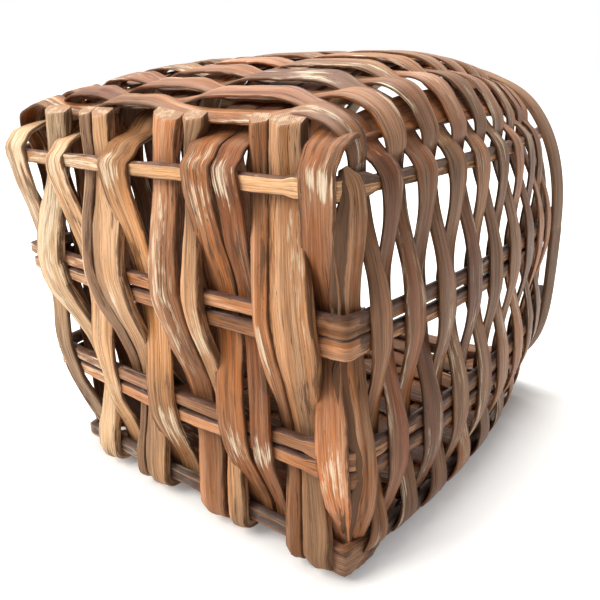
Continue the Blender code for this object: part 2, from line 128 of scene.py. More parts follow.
# Room beside the long splints on the top and on the bottom wall
SHOULDER_MARGIN = 0.034
FOOT_MARGIN = 0.028

# Sawn ends of the staves above the shoulder, and how much they swell
STUB_HEIGHT = 0.341
STUB_SWELL = 0.0028

# Edges of the flat splints and the half-round staves where they are seen on the
# base panel: height, left edge and right edge in millimetres from the panel's
# middle, as they cover the panel's plane from the viewer's side
SPLINT_ROWS = {
    "long_splint_6": ((298, -229, -196), (270, -222, -190), (245, -212, -186),
                      (220, -206, -180), (190, -196, -170), (145, -184, -160), (106, -178, -155),
                      (92, -171, -150), (70, -160, -137), (45, -141, -118), (30, -139, -116),
                      (10, -138, -116)),
    "long_splint_5": ((298, -155, -131), (285, -159, -130),
                      (270, -152, -126), (245, -143, -112), (220, -131, -101), (190, -122, -90),
                      (165, -116, -81), (125, -116, -83), (92, -102, -80), (70, -99, -76),
                      (45, -90, -60), (30, -85, -57), (10, -84, -58)),
    "long_splint_4": ((298, -76, -35), (285, -74, -36),
                      (270, -69, -32), (245, -57, -23), (220, -46, -16), (190, -38, -8),
                      (165, -32, 0), (125, -33, 2), (92, -34, 2), (70, -33, 7),
                      (45, -25, 17), (30, -18, 25), (10, -14, 22)),
    "long_splint_3": ((298, 31, 63), (285, 32, 64), (270, 36, 66),
                      (245, 42, 73), (220, 47, 82), (190, 54, 86), (165, 57, 87), (125, 55, 86),
                      (92, 56, 89), (70, 62, 92), (45, 74, 107), (30, 86, 114), (10, 88, 116)),
    "long_splint_2": ((298, 66, 90), (270, 72, 96), (245, 75, 98),
                      (220, 84, 103), (190, 90, 110), (165, 93, 111), (125, 94, 114), (92, 94, 115),
                      (70, 97, 118), (45, 110, 127), (30, 118, 131), (10, 120, 133)),
    "long_splint_1": ((298, 147, 179), (270, 150, 178), (245, 150, 181),
                      (220, 157, 185), (190, 163, 187), (165, 164, 187), (125, 160, 190),
                      (92, 161, 192), (70, 164, 194), (45, 172, 200), (30, 177, 202), (10, 176, 198)),
}
STAVE_ROWS = {
    "base_stave_7": ((338, -167, -130), (310, -169, -138), (270, -176, -147), (245, -185, -148),
                     (220, -190, -151), (188, -192, -153), (165, -183, -142), (145, -160, -127),
                     (125, -140, -112), (85, -115, -100), (45, -120, -96), (22, -126, -97), (4, -126, -97)),
    "base_stave_6": ((338, -109, -91), (285, -108, -92), (245, -112, -97), (204, -112, -95),
                     (188, -110, -92), (165, -100, -76), (145, -82, -61), (125, -71, -54),
                     (80, -56, -46), (45, -57, -48), (22, -63, -50), (0, -63, -50)),
    "base_stave_5": ((340, -90, -66), (270, -92, -69), (245, -95, -57), (204, -94, -56),
                     (188, -91, -54), (165, -75, -45), (145, -60, -34), (125, -53, -33),
                     (80, -45, -34), (45, -47, -21), (22, -49, -20), (0, -49, -20)),
    "base_stave_4": ((342, -5, 26), (310, -10, 18), (270, -13, 18), (225, -16, 17), (188, -17, 20),
                     (165, -5, 29), (145, 2, 37), (125, 12, 45), (70, 25, 54), (22, 26, 57), (0, 26, 57)),
    "base_stave_3": ((338, 31, 53), (310, 30, 40), (270, 29, 38), (245, 27, 42), (204, 22, 42),
                     (188, 21, 42), (165, 29, 48), (145, 38, 57), (125, 46, 60), (70, 61, 75),
                     (22, 61, 80), (0, 61, 80)),
    "base_stave_2": ((340, 101, 120), (270, 100, 117), (188, 99, 115), (165, 105, 121),
                     (145, 111, 128), (125, 120, 133), (70, 129, 143), (22, 126, 143), (0, 126, 143)),
    "base_stave_1": ((342, 121, 152), (270, 117, 150), (204, 115, 154), (165, 119, 159),
                     (125, 131, 160), (92, 141, 162), (70, 144, 163), (22, 143, 170), (0, 143, 168)),
}

# Height at which every long splint folds over onto the top wall, and the depth over which
# it comes level with that wall
SHOULDER_CRESTS = {
    "long_splint_6": 0.321,
    "long_splint_5": 0.315,
    "long_splint_4": 0.317,
    "long_splint_3": 0.322,
    "long_splint_2": 0.322,
    "long_splint_1": 0.327,
}
SHOULDER_SLOPE = 0.17

# How much narrower the near splint is on its right side: at the foot, and up to the middle
FOOT_ROOM = 0.0050
SIDE_ROOM = 0.0020

# How far a point in front of the panel seems to move on it for each metre outward
SEEN_ACROSS = 0.839
SEEN_UPWARD = 0.442

# Splints woven as one, left to right on the top wall
WOVEN_TOGETHER = (
    ("long_splint_6",),
    ("long_splint_5",),
    ("long_splint_4",),
    ("long_splint_3", "long_splint_2"),
    ("long_splint_1",),
)

MARKS = ("worn", "dark", "bark", "tone")

# Where the random draws of every kind of piece start, and how far apart two pieces are
ROD_SEED = 11
SPLINT_SEED = 101
STAVE_SEED = 201
BAND_SEED = 301
HOOP_SEED = 501
SEED_STEP = 10


class BasketSizes(bpy.types.PropertyGroup):
    """Sizes of the pieces that the frame leaves to the finish."""

    splint_thickness: bpy.props.FloatProperty(
        name="Splint thickness", description="Thickness of the long flat splints",
        default=0.0036, min=0.001, max=0.008, unit="LENGTH")
    stave_thickness: bpy.props.FloatProperty(
        name="Stave thickness", description="Thickness of the half-round base staves at the ridge",
        default=0.0105, min=0.003, max=0.018, unit="LENGTH")
    band_thickness: bpy.props.FloatProperty(
        name="Band thickness", description="Thickness of the woven bands",
        default=0.0030, min=0.001, max=0.006, unit="LENGTH")
    split_depth: bpy.props.FloatProperty(
        name="Split face", description="Share of a rod's radius at which its outward face is split off",
        default=0.66, min=0.3, max=1.0, subtype="FACTOR")
    rod_squash: bpy.props.FloatProperty(
        name="Fold height", description="How much taller a rod is where it is folded at the near corner",
        default=0.38, min=0.0, max=1.0, subtype="FACTOR")
    fibre_relief: bpy.props.FloatProperty(
        name="Fibre relief", description="Height of the ridges that riving leaves along the splints",
        default=0.00035, min=0.0, max=0.001, unit="LENGTH")
    hoop_thickness: bpy.props.FloatProperty(
        name="Hoop thickness", description="Thickness of the two hoops at the mouth",
        default=0.0050, min=0.002, max=0.008, unit="LENGTH")
    hoop_width: bpy.props.FloatProperty(
        name="Hoop width", description="Width of the two hoops at the mouth",
        default=0.026, min=0.010, max=0.030, unit="LENGTH")


class BasketColours(bpy.types.PropertyGroup):
    """Colours of the wood."""

    cream: bpy.props.FloatVectorProperty(
        name="Cream", description="Freshly worn wood", subtype="COLOR", size=3,
        default=(0.78, 0.67, 0.50), min=0.0, max=1.0)
    # umber is also the colour of the painted shade at the strips' edges, in the corner recess and on the
    # right wall's rods
    umber: bpy.props.FloatVectorProperty(
        name="Umber", description="Stained and dirty wood", subtype="COLOR", size=3,
        default=(0.085, 0.041, 0.021), min=0.0, max=1.0)


class BasketLight(bpy.types.PropertyGroup):
    """Light and floor of the studio."""

    key: bpy.props.FloatProperty(
        name="Key light", description="Strength of the large soft lamp at the upper left",
        default=70.0, min=0.0, unit="POWER")
    top: bpy.props.FloatProperty(
        name="Top light", description="Strength of the soft lamp above",
        default=70.0, min=0.0, unit="POWER")
    fill: bpy.props.FloatProperty(
        name="Surround", description="Strength of the even light from all round",
        default=0.29, min=0.0)
    floor: bpy.props.FloatVectorProperty(
        name="Floor", description="Colour of the plain floor", subtype="COLOR", size=3,
        default=(0.86, 0.86, 0.86), min=0.0, max=1.0)


# The surface that every piece is laid on

HALVINGS = 44
ANGLE_STEP = 0.002
WALL_SAMPLES = 91
ROUND_SAMPLES = 721


def run_lengths(steps):
    """Length run so far at every point, from the steps between the points."""
    return np.concatenate(((0.0,), np.cumsum(steps)))


def at_depth(values, depth):
    """One measure of the wall at a depth, through its three values."""
    t = depth / BODY_DEPTH
    near = values[0] * (1 - t) * (1 - 2 * t)
    return near + 4 * values[1] * t * (1 - t) + values[2] * t * (2 * t - 1)


def foot_level(depth):
    """Height of the foot of the wall, which rises toward the mouth."""
    return MOUTH_LIFT * np.maximum(0.0, 2 * depth / BODY_DEPTH - 1) ** 2


def rod_level(height, depth):
    """Height of a rod, of which the lower ones rise with the foot of the wall."""
    return height + foot_level(depth) * (1 - height / HEIGHTS[0])


def section(depth, angle):
    """Places across and up on the wall at depths and angles."""
    depth, angle = np.broadcast_arrays(np.asarray(depth, float), np.asarray(angle, float))
    foot = foot_level(depth)
    half_height = (at_depth(HEIGHTS, depth) - foot) / 2
    lower = np.where(np.cos(angle) >= 0, at_depth(LOWER_RIGHT_SQUARE, depth),
                     at_depth(LOWER_LEFT_SQUARE, depth))
    power = np.where(np.sin(angle) < 0, lower, at_depth(UPPER_SQUARE, depth))
    total = np.abs(np.cos(angle)) ** power + np.abs(np.sin(angle)) ** power
    radius = total ** (-1 / power)
    across = radius * np.cos(angle)
    upward = radius * np.sin(angle)
    half_width = at_depth(WIDTHS, depth) / 2 + at_depth(FLARES, depth) / 2 * upward
    x = at_depth(SHIFTS, depth) + half_width * across + at_depth(LEANS, depth) / 2 * upward
    return x, foot + half_height * (1 + upward)


def angle_at_height(depth, height, side):
    """Angle at which the wall on one side (1 right, -1 left) has a height."""
    low, high = -math.pi / 2, math.pi / 2
    for _ in range(HALVINGS):
        middle = (low + high) / 2
        if section(depth, middle if side > 0 else math.pi - middle)[1] < height:
            low = middle
        else:
            high = middle
    return low if side > 0 else math.pi - low


def wall_x(depth, height, side):
    """Place across of a side wall at a height."""
    return float(section(depth, angle_at_height(depth, height, side))[0])


def rod_place(depth, height, side):
    """Point of a rod on a side wall."""
    level = float(rod_level(height, depth))
    return np.array((wall_x(depth, level, side), depth, level))


def wall_points(depth, angle, offset=0.0):
    """Points moved outward from the wall, and the outward directions there."""
    depth, angle = np.broadcast_arrays(np.asarray(depth, float), np.asarray(angle, float))
    x0, z0 = section(depth, angle - ANGLE_STEP)
    x1, z1 = section(depth, angle + ANGLE_STEP)
    outward = np.stack((z1 - z0, np.zeros_like(z0), x0 - x1), -1)
    outward /= np.linalg.norm(outward, axis=-1, keepdims=True)
    x, z = section(depth, angle)
    return np.stack((x, depth, z), -1) + outward * np.asarray(offset)[..., None], outward


def wall_table(depth, upper):
    """Angles and lengths over the top or under the bottom, left wall to right."""
    height = rod_level(TOP_ROD if upper else RIM_ROD, depth)
    start = angle_at_height(depth, height, -1)
    end = angle_at_height(depth, height, 1) + (0.0 if upper else 2 * math.pi)
    angles = np.linspace(start, end, WALL_SAMPLES)
    x, z = section(depth, angles)
    return angles, run_lengths(np.hypot(np.diff(x), np.diff(z)))


def round_table(depth, start):
    """Turned angles and lengths once round all four walls."""
    turned = np.linspace(0.0, 2 * math.pi, ROUND_SAMPLES)
    x, z = section(depth, start - turned)
    return turned, run_lengths(np.hypot(np.diff(x), np.diff(z)))


def bow(x, height):
    """How far the base panel bulges out."""
    level = min(max(height, RIM_ROD), TOP_ROD)
    left = wall_x(0.0, level, -1)
    right = wall_x(0.0, level, 1)
    across = (2 * x - left - right) / (right - left)
    upward = 2 * height / HEIGHTS[0] - 1
    return BASE_BOW * max(0.0, 1 - across * across) * max(0.0, 1 - upward * upward)


# Randomness that is the same on every run

NOISE_GRID = 128


def soft_noise(a, b, seed):
    """Smooth random values from -1 to 1 over two measures."""
    table = np.random.RandomState(seed).uniform(-1, 1, (NOISE_GRID, NOISE_GRID))
    a, b = np.broadcast_arrays(np.asarray(a, float), np.asarray(b, float))
    i, j = np.floor(a).astype(int), np.floor(b).astype(int)
    f, g = a - i, b - j
    f, g = f * f * (3 - 2 * f), g * g * (3 - 2 * g)
    i0, i1, j0, j1 = (number % NOISE_GRID for number in (i, i + 1, j, j + 1))
    low = table[i0, j0] * (1 - f) + table[i1, j0] * f
    high = table[i0, j1] * (1 - f) + table[i1, j1] * f
    return low * (1 - g) + high * g


def ease(share):
    """Soft step from 0 to 1."""
    share = np.clip(share, 0.0, 1.0)
    return share * share * (3 - 2 * share)


def eased(places, knots, values):
    """Values at places, level at every knot and eased between two of them."""
    knots = np.asarray(knots, float)
    values = np.asarray(values, float)
    index = np.clip(np.searchsorted(knots, places, side="right") - 1, 0, len(knots) - 2)
    span = np.maximum(knots[index + 1] - knots[index], 1e-9)
    share = ease((places - knots[index]) / span)
    return values[index] + (values[index + 1] - values[index]) * share


# Paths

def smooth_rows(rows, spacing):
    """Rows of numbers whose first three are a point, led along a smooth curve."""
    rows = np.asarray(rows, float)
    steps = np.linalg.norm(np.diff(rows[:, :3], axis=0), axis=1)
    keep = np.concatenate(((True,), steps > 1e-5))
    rows = rows[keep]
    steps = np.linalg.norm(np.diff(rows[:, :3], axis=0), axis=1)
    at = run_lengths(steps)
    slope = np.diff(rows, axis=0) / steps[:, None]
    tangent = np.empty_like(rows)
    tangent[0], tangent[-1] = slope[0], slope[-1]
    before, after = steps[:-1, None], steps[1:, None]
    tangent[1:-1] = (slope[:-1] * after + slope[1:] * before) / (before + after)
    count = max(3, int(at[-1] / spacing))
    places = np.linspace(0.0, at[-1], count + 1)
    index = np.clip(np.searchsorted(at, places, side="right") - 1, 0, len(at) - 2)
    span = (at[index + 1] - at[index])[:, None]
    t = ((places - at[index])[:, None]) / span
    return (rows[index] * (2 * t ** 3 - 3 * t ** 2 + 1) + rows[index + 1] * (3 * t ** 2 - 2 * t ** 3)
            + tangent[index] * span * (t ** 3 - 2 * t ** 2 + t)
            + tangent[index + 1] * span * (t ** 3 - t ** 2))


def unit(vectors):
    """Vectors of length 1."""
    return vectors / np.maximum(np.linalg.norm(vectors, axis=-1, keepdims=True), 1e-12)


def path_of(rows, closed=False):
    """A path from rows of point, across direction, left and right half width."""
    point = rows[:, :3]
    across = unit(rows[:, 3:6])
    if closed:
        ahead, behind = np.roll(point, -1, 0), np.roll(point, 1, 0)
    else:
        ahead = np.concatenate((point[1:], point[-1:]))
        behind = np.concatenate((point[:1], point[:-1]))
    along = unit(ahead - behind)
    outward = unit(np.cross(along, across))
    across = unit(np.cross(outward, along))
    length = run_lengths(np.linalg.norm(np.diff(point, axis=0), axis=1))
    return {"point": point, "across": across, "outward": outward,
            "left": rows[:, 6], "right": rows[:, 7], "length": length}


def fray(path, seed, slow, fine):
    """Let both edges of a strip wander; slow and fine are strength and turns per metre."""
    along = path["length"]
    for key, shift in (("left", 0), ("right", 5)):
        wander = slow[0] * soft_noise(along * slow[1], 0.1, seed + shift)
        wander = wander + fine[0] * soft_noise(along * fine[1], 0.4, seed + shift + 1)
        path[key] = path[key] * (1 + wander)


# Sections: shares of the half width and of the half thickness round a strip


def flat_section(columns, back_columns, crown, edge):
    """Shares of the half width and of the half thickness round a flat strip."""
    shares = np.concatenate(((-1.0, -0.985), np.linspace(-0.95, 0.95, columns - 4), (0.985, 1.0)))
    heights = 1 - crown * shares ** 2
    heights[[1, -2]] -= edge * 0.25
    heights[[0, -1]] -= edge
    back = np.concatenate(((0.99,), np.linspace(0.95, -0.95, back_columns - 2), (-0.99,)))
    back_heights = np.full(back_columns, -1.0)
    back_heights[[0, -1]] = -0.7
    return np.concatenate((shares, back)), np.concatenate((heights, back_heights)), columns


def roof_section(columns, back_columns, fall, ridge):
    """Shares round a split band: two flat facets that meet in a ridge."""
    shares, heights, outer = flat_section(columns, back_columns, 0.0, 0.3)
    front = np.arange(len(shares)) < outer
    heights = heights - front * fall * np.abs(shares - ridge) / (1 + abs(ridge))
    return shares, heights, outer


def stave_section():
    """Half-round stave: two flat facets outward with crisp arrises and a flat back."""
    front = ((-1.0, -0.2), (-1.0, 0.20), (-0.98, 0.30), (-0.80, 0.46), (-0.55, 0.68),
             (-0.30, 0.90), (-0.22, 0.985), (-0.15, 1.0), (-0.08, 0.985), (0.15, 0.90),
             (0.40, 0.78), (0.65, 0.66), (0.85, 0.57), (0.97, 0.50), (1.0, 0.40))
    back = ((1.0, -0.2), (1.0, -0.7), (0.96, -0.95), (0.55, -1.0), (0.0, -1.0), (-0.55, -1.0),
            (-0.96, -0.95), (-1.0, -0.7))
    rows = np.array(front + back)
    return rows[:, 0], rows[:, 1], len(front)


# Relief of a riven strip: strength, and changes per metre across and along
RELIEF_LAYERS = ((0.5, 420, 6), (0.6, 900, 14), (0.9, 60, 9))
BACK_RELIEF = 0.2

# Drift of brightness over a strip: strength, changes per metre, and where it starts
TONE_DRIFT = 1.2
TONE_ACROSS = 12
TONE_ALONG = 7
TONE_START = 7
WELD_DISTANCE = 0.000002


def strip_grid(path, shape, thickness, relief, seed, lift, marks):
    """Places of a strip's grid, row by row along the path, and the values marked on it."""
    shares, heights, outer = shape
    wide = np.where(shares[None, :] < 0, path["left"][:, None], path["right"][:, None])
    u = shares[None, :] * wide
    v = path["length"][:, None]
    front = (np.arange(len(shares)) < outer)[None, :] * 1.0
    ridges = sum(strength * soft_noise(u * across, v * along, seed + number)
                 for number, (strength, across, along) in enumerate(RELIEF_LAYERS))
    height = (heights[None, :] * thickness / 2
              + ridges * relief * (front * (1 - BACK_RELIEF) + BACK_RELIEF) + lift)
    places = (path["point"][:, None, :] + path["across"][:, None, :] * u[..., None]
              + path["outward"][:, None, :] * height[..., None] + PANEL_PLACE)
    values = {key: np.zeros(height.shape) for key in MARKS}
    drift = soft_noise(u * TONE_ACROSS + TONE_START, v * TONE_ALONG, seed + len(RELIEF_LAYERS))
    values["tone"] = TONE_DRIFT * drift + 0 * height
    for key, rows in marks.items():
        values[key] = values[key] + rows
    return places, values


def lay_strip(name, path, shape, thickness, relief, seed, closed=False, marks=None, lift=0.0):
    """Bend a grid round a section and along a path, weld it, and cap its open ends."""
    places, values = strip_grid(path, shape, thickness, relief, seed, lift, marks or {})
    shares, heights, _ = shape
    count, around = places.shape[:2]
    rows = count if closed else count - 1
    data = bmesh.new()
    data.loops.layers.uv.new("Grain")
    layers = {key: data.verts.layers.float.new(key) for key in MARKS}
    bmesh.ops.create_grid(data, x_segments=around, y_segments=rows, size=0.5, calc_uvs=True)
    listed = places.tolist()
    plain = {key: array.tolist() for key, array in values.items()}
    for vert in data.verts:
        column = round((vert.co.x + 0.5) * around) % around
        row = round((vert.co.y + 0.5) * rows) % count
        vert.co = listed[row][column]
        for key, layer in layers.items():
            vert[layer] = plain[key][row][column]
    bmesh.ops.remove_doubles(data, verts=data.verts, dist=WELD_DISTANCE)
    caps = []
    if not closed:
        rims = [edge for edge in data.edges if edge.is_boundary]
        caps = bmesh.ops.holes_fill(data, edges=rims, sides=around)["faces"]
    bmesh.ops.recalc_face_normals(data, faces=data.faces)
    for face in data.faces:
        face.smooth = True
    for face in caps:
        face.material_index = 1
        face.smooth = False
    mesh = bpy.data.meshes.new(name)
    data.to_mesh(mesh)
    data.free()
    half = float(np.mean(path["left"] + path["right"])) / 2
    girth = run_lengths(np.hypot(np.diff(np.append(shares, shares[0])) * half,
                                 np.diff(np.append(heights, heights[0])) * thickness / 2))
    lengths = path["length"]
    if closed:
        lengths = np.append(lengths, 2 * lengths[-1] - lengths[-2])
    measure_grain(mesh, girth, lengths)
    made = bpy.data.objects.new(name, mesh)
    bpy.context.scene.collection.objects.link(made)
    return made


def measure_grain(mesh, girth, lengths):
    """Turn the grid's own map into metres round and along the strip."""
    layer = mesh.uv_layers["Grain"].data
    flat = np.empty(len(layer) * 2, dtype=np.float32)
    layer.foreach_get("uv", flat)
    flat = flat.reshape(-1, 2)
    for column, table in enumerate((girth, lengths)):
        steps = len(table) - 1
        flat[:, column] = np.interp(flat[:, column] * steps, np.arange(steps + 1), table)
    layer.foreach_set("uv", flat.ravel())


def place_in_frame(piece, node, slot, *materials):
    """Give a piece its materials and its body, and hide the imported part of the node that it stands for;
    the slot is not used.
    """
    for material in materials:
        piece.data.materials.append(material)
    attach(piece, "root")
    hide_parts(node)


# Wood, bark and dirt

def add(tree, kind, **settings):
    """A new node with its settings."""
    node = tree.nodes.new(kind)
    for key, value in settings.items():
        setattr(node, key, value)
    return node


def feed(tree, socket, value):
    """Link a socket to another, or set it to a plain value."""
    if isinstance(value, bpy.types.NodeSocket):
        tree.links.new(value, socket)
    else:
        socket.default_value = value


def sums(tree, operation, a, b=0.0, clamp=False):
    """One step of arithmetic on one or two values."""
    node = add(tree, "ShaderNodeMath", operation=operation, use_clamp=clamp)
    for socket, value in zip(node.inputs, (a, b)):
        feed(tree, socket, value)
    return node.outputs[0]


def product(tree, a, b):
    """Two values or outputs multiplied."""
    return sums(tree, "MULTIPLY", a, b)


def stretched(tree, grain, scale, seed):
    """The grain's own measures, stretched and moved to a place of their own."""
    node = add(tree, "ShaderNodeVectorMath", operation="MULTIPLY_ADD")
    feed(tree, node.inputs[0], grain)
    feed(tree, node.inputs[1], scale)
    feed(tree, node.inputs[2], seed)
    return node.outputs[0]


def cloud(tree, vector, scale=1.0, detail=3.0, roughness=0.55, distortion=0.0):
    """Soft random pattern over a surface."""
    node = add(tree, "ShaderNodeTexNoise")
    for label, value in (("Vector", vector), ("Scale", scale), ("Detail", detail),
                         ("Roughness", roughness), ("Distortion", distortion)):
        feed(tree, node.inputs[label], value)
    return node.outputs[0]


def grain_cloud(tree, start, across, along, **settings):
    """Random pattern in a shared group, stretched along the grain; changes per metre."""
    place = stretched(tree, start["Grain"], (across, along, 0.0), start["Seed"])
    return cloud(tree, place, **settings)


def between(tree, value, low, high, to_low=0.0, to_high=1.0):
    """Value taken from one range to another, with soft ends."""
    node = add(tree, "ShaderNodeMapRange", interpolation_type="SMOOTHSTEP")
    for socket, given in zip(node.inputs, (value, low, high, to_low, to_high)):
        feed(tree, socket, given)
    return node.outputs[0]


def blended(tree, share, a, b):
    """One colour laid over another by a share."""
    node = add(tree, "ShaderNodeMix", data_type="RGBA", clamp_factor=True)
    feed(tree, node.inputs[0], share)
    feed(tree, node.inputs[6], a)
    feed(tree, node.inputs[7], b)
    return node.outputs[2]


def scaled(tree, colour, gain):
    """A colour made lighter or darker."""
    node = add(tree, "ShaderNodeVectorMath", operation="SCALE")
    feed(tree, node.inputs[0], colour)
    feed(tree, node.inputs["Scale"], gain)
    return node.outputs[0]


def new_group(name, inputs, outputs):
    """A node group with named sockets; returns its tree and its two ends."""
    group = bpy.data.node_groups.new(name, "ShaderNodeTree")
    for label, kind in inputs:
        group.interface.new_socket(name=label, in_out="INPUT", socket_type="NodeSocket" + kind)
    for label, kind in outputs:
        group.interface.new_socket(name=label, in_out="OUTPUT", socket_type="NodeSocket" + kind)
    start = group.nodes.new("NodeGroupInput").outputs
    end = group.nodes.new("NodeGroupOutput").inputs
    return group, start, end


CRACK_COLOUR = (0.018, 0.009, 0.006, 1.0)


def grain_group():
    """Riven wood: wide streaks, fibres, hair cracks, pits and slow patches along the piece."""
    tree, start, end = new_group(
        "Riven grain",
        (("Grain", "Vector"), ("Seed", "Vector"), ("Light", "Color"), ("Middle", "Color"),
         ("Dark", "Color"), ("Streaks", "Float"), ("Cracks", "Float"), ("Pits", "Float")),
        (("Colour", "Color"), ("Height", "Float"), ("Dry", "Float")))
    patch = grain_cloud(tree, start, 34.0, 8.0, detail=4.0, distortion=1.2)
    wide = grain_cloud(tree, start, 110.0, 4.0, detail=4.0, distortion=0.9)
    streak = grain_cloud(tree, start, 430.0, 6.0, detail=6.0, roughness=0.78, distortion=0.6)
    fibre = grain_cloud(tree, start, 1300.0, 30.0, detail=3.0, roughness=0.7)
    split = grain_cloud(tree, start, 230.0, 4.0, detail=2.0, distortion=0.7)
    sparse = grain_cloud(tree, start, 60.0, 16.0, detail=1.0)
    speck = grain_cloud(tree, start, 900.0, 210.0, detail=2.0)
    both = sums(tree, "ADD", product(tree, patch, 0.5), product(tree, wide, 0.5))
    colour = blended(tree, between(tree, both, 0.40, 0.62), start["Middle"], start["Light"])
    shade = product(tree, between(tree, streak, 0.55, 0.33), start["Streaks"])
    colour = blended(tree, shade, colour, start["Dark"])
    darker = product(tree, between(tree, wide, 0.46, 0.30), start["Streaks"])
    colour = blended(tree, product(tree, darker, 0.6), colour, start["Dark"])
    colour = scaled(tree, colour, between(tree, fibre, 0.30, 0.70, 0.70, 1.24))
    line = between(tree, sums(tree, "ABSOLUTE", sums(tree, "SUBTRACT", split, 0.5)), 0.013, 0.003)
    line = product(tree, product(tree, line, between(tree, sparse, 0.44, 0.52)), start["Cracks"])
    pit = product(tree, between(tree, speck, 0.66, 0.74), start["Pits"])
    hollow = sums(tree, "MAXIMUM", line, pit)
    colour = blended(tree, product(tree, hollow, 0.85), colour, CRACK_COLOUR)
    feed(tree, end["Colour"], colour)
    relief = sums(tree, "ADD", product(tree, streak, 0.55), product(tree, fibre, 0.35))
    feed(tree, end["Height"], sums(tree, "SUBTRACT", relief, product(tree, hollow, 0.9)))
    feed(tree, end["Dry"], between(tree, sums(tree, "ADD", streak, patch), 0.8, 1.25))
    return tree


def bark_group():
    """Bark of a thin rod: mottled, with dark long folds, pale scars and fine rings."""
    tree, start, end = new_group(
        "Rod bark",
        (("Grain", "Vector"), ("Seed", "Vector"), ("Bark", "Color"), ("Scar", "Color"),
         ("Dark", "Color")),
        (("Colour", "Color"), ("Height", "Float")))
    mottle = grain_cloud(tree, start, 190.0, 70.0, detail=4.0)
    fold = grain_cloud(tree, start, 600.0, 26.0, detail=3.0, distortion=0.5)
    scar = grain_cloud(tree, start, 120.0, 24.0, detail=3.0, distortion=0.8)
    colour = blended(tree, between(tree, mottle, 0.38, 0.66), start["Dark"], start["Bark"])
    colour = blended(tree, between(tree, scar, 0.58, 0.68, 0.0, 0.75), colour, start["Scar"])
    colour = blended(tree, between(tree, fold, 0.42, 0.30, 0.0, 0.8), colour, start["Dark"])
    feed(tree, end["Colour"], colour)
    feed(tree, end["Height"], sums(tree, "ADD", fold, product(tree, mottle, 0.6)))
    return tree


def wear_group():
    """Pale worn wood, and dark dirt together with painted shade, over a finish, both broken up along the
    grain.
    """
    tree, start, end = new_group(
        "Wear, grime and shade",
        (("Grain", "Vector"), ("Seed", "Vector"), ("Colour", "Color"), ("Worn Colour", "Color"),
         ("Grime And Shade Colour", "Color"), ("Worn", "Float"), ("Grime And Shade", "Float")),
        (("Colour", "Color"), ("Worn", "Float")))
    ragged = grain_cloud(tree, start, 800.0, 16.0, detail=5.0, roughness=0.8)
    broad = grain_cloud(tree, start, 210.0, 38.0, detail=3.0)
    middling = sums(tree, "SUBTRACT", sums(tree, "ADD", ragged, broad), 1.0)
    uneven = product(tree, middling, 3.4)
    worn = between(tree, sums(tree, "ADD", start["Worn"], uneven), 0.35, 0.95)
    # the dark mark is dirt and painted shade: shade at the strips' edges, in the corner recess and on the
    # right wall's rods
    dirt = between(tree, sums(tree, "SUBTRACT", start["Grime And Shade"], uneven), 0.35, 0.85)
    worn = product(tree, worn, between(tree, start["Worn"], 0.02, 0.25))
    dirt = product(tree, dirt, between(tree, start["Grime And Shade"], 0.02, 0.25))
    torn = blended(tree, between(tree, ragged, 0.35, 0.6), start["Colour"], start["Worn Colour"])
    colour = blended(tree, product(tree, worn, 0.88), start["Colour"], torn)
    colour = blended(tree, product(tree, dirt, 0.80), colour, start["Grime And Shade Colour"])
    feed(tree, end["Colour"], colour)
    feed(tree, end["Worn"], worn)
    return tree


def tone(red, green, blue):
    """Colour written as it looks on a screen, 0 to 255, for a colour socket."""
    shares = [value / 255 for value in (red, green, blue)]
    return (*(share / 12.92 if share <= 0.04045 else ((share + 0.055) / 1.055) ** 2.4
              for share in shares), 1.0)


def mixed(a, b, share):
    """A colour between two, by a share of the second, which is one of the basket's colours."""
    return tuple(x + (y - x) * share for x, y in zip(a, (*b, 1.0)))


def mark(tree, name):
    """Values that are marked on a piece under a name."""
    node = add(tree, "ShaderNodeAttribute", attribute_name=name, attribute_type="GEOMETRY")
    return node.outputs["Fac"]


def placed_group(tree, name, make, values):
    """A shared group, made at its first use, with its values; returns its outputs."""
    node = add(tree, "ShaderNodeGroup", node_tree=bpy.data.node_groups.get(name) or make())
    for label, value in values.items():
        feed(tree, node.inputs[label], value)
    return node.outputs


def raised(tree, shader, strength, distance, height):
    """Relief by a height over the surface."""
    bump = add(tree, "ShaderNodeBump")
    feed(tree, bump.inputs["Strength"], strength)
    feed(tree, bump.inputs["Distance"], distance)
    feed(tree, bump.inputs["Height"], height)
    feed(tree, shader.inputs["Normal"], bump.outputs[0])


WOOD_SHEEN = 0.18
WOOD_RELIEF = 0.5
WOOD_RELIEF_DEPTH = 0.0006
LIGHT_SHARE = 0.20
DARK_SHARE = 0.88
DARKEST_TONE = 0.62
LIGHTEST_TONE = 1.30


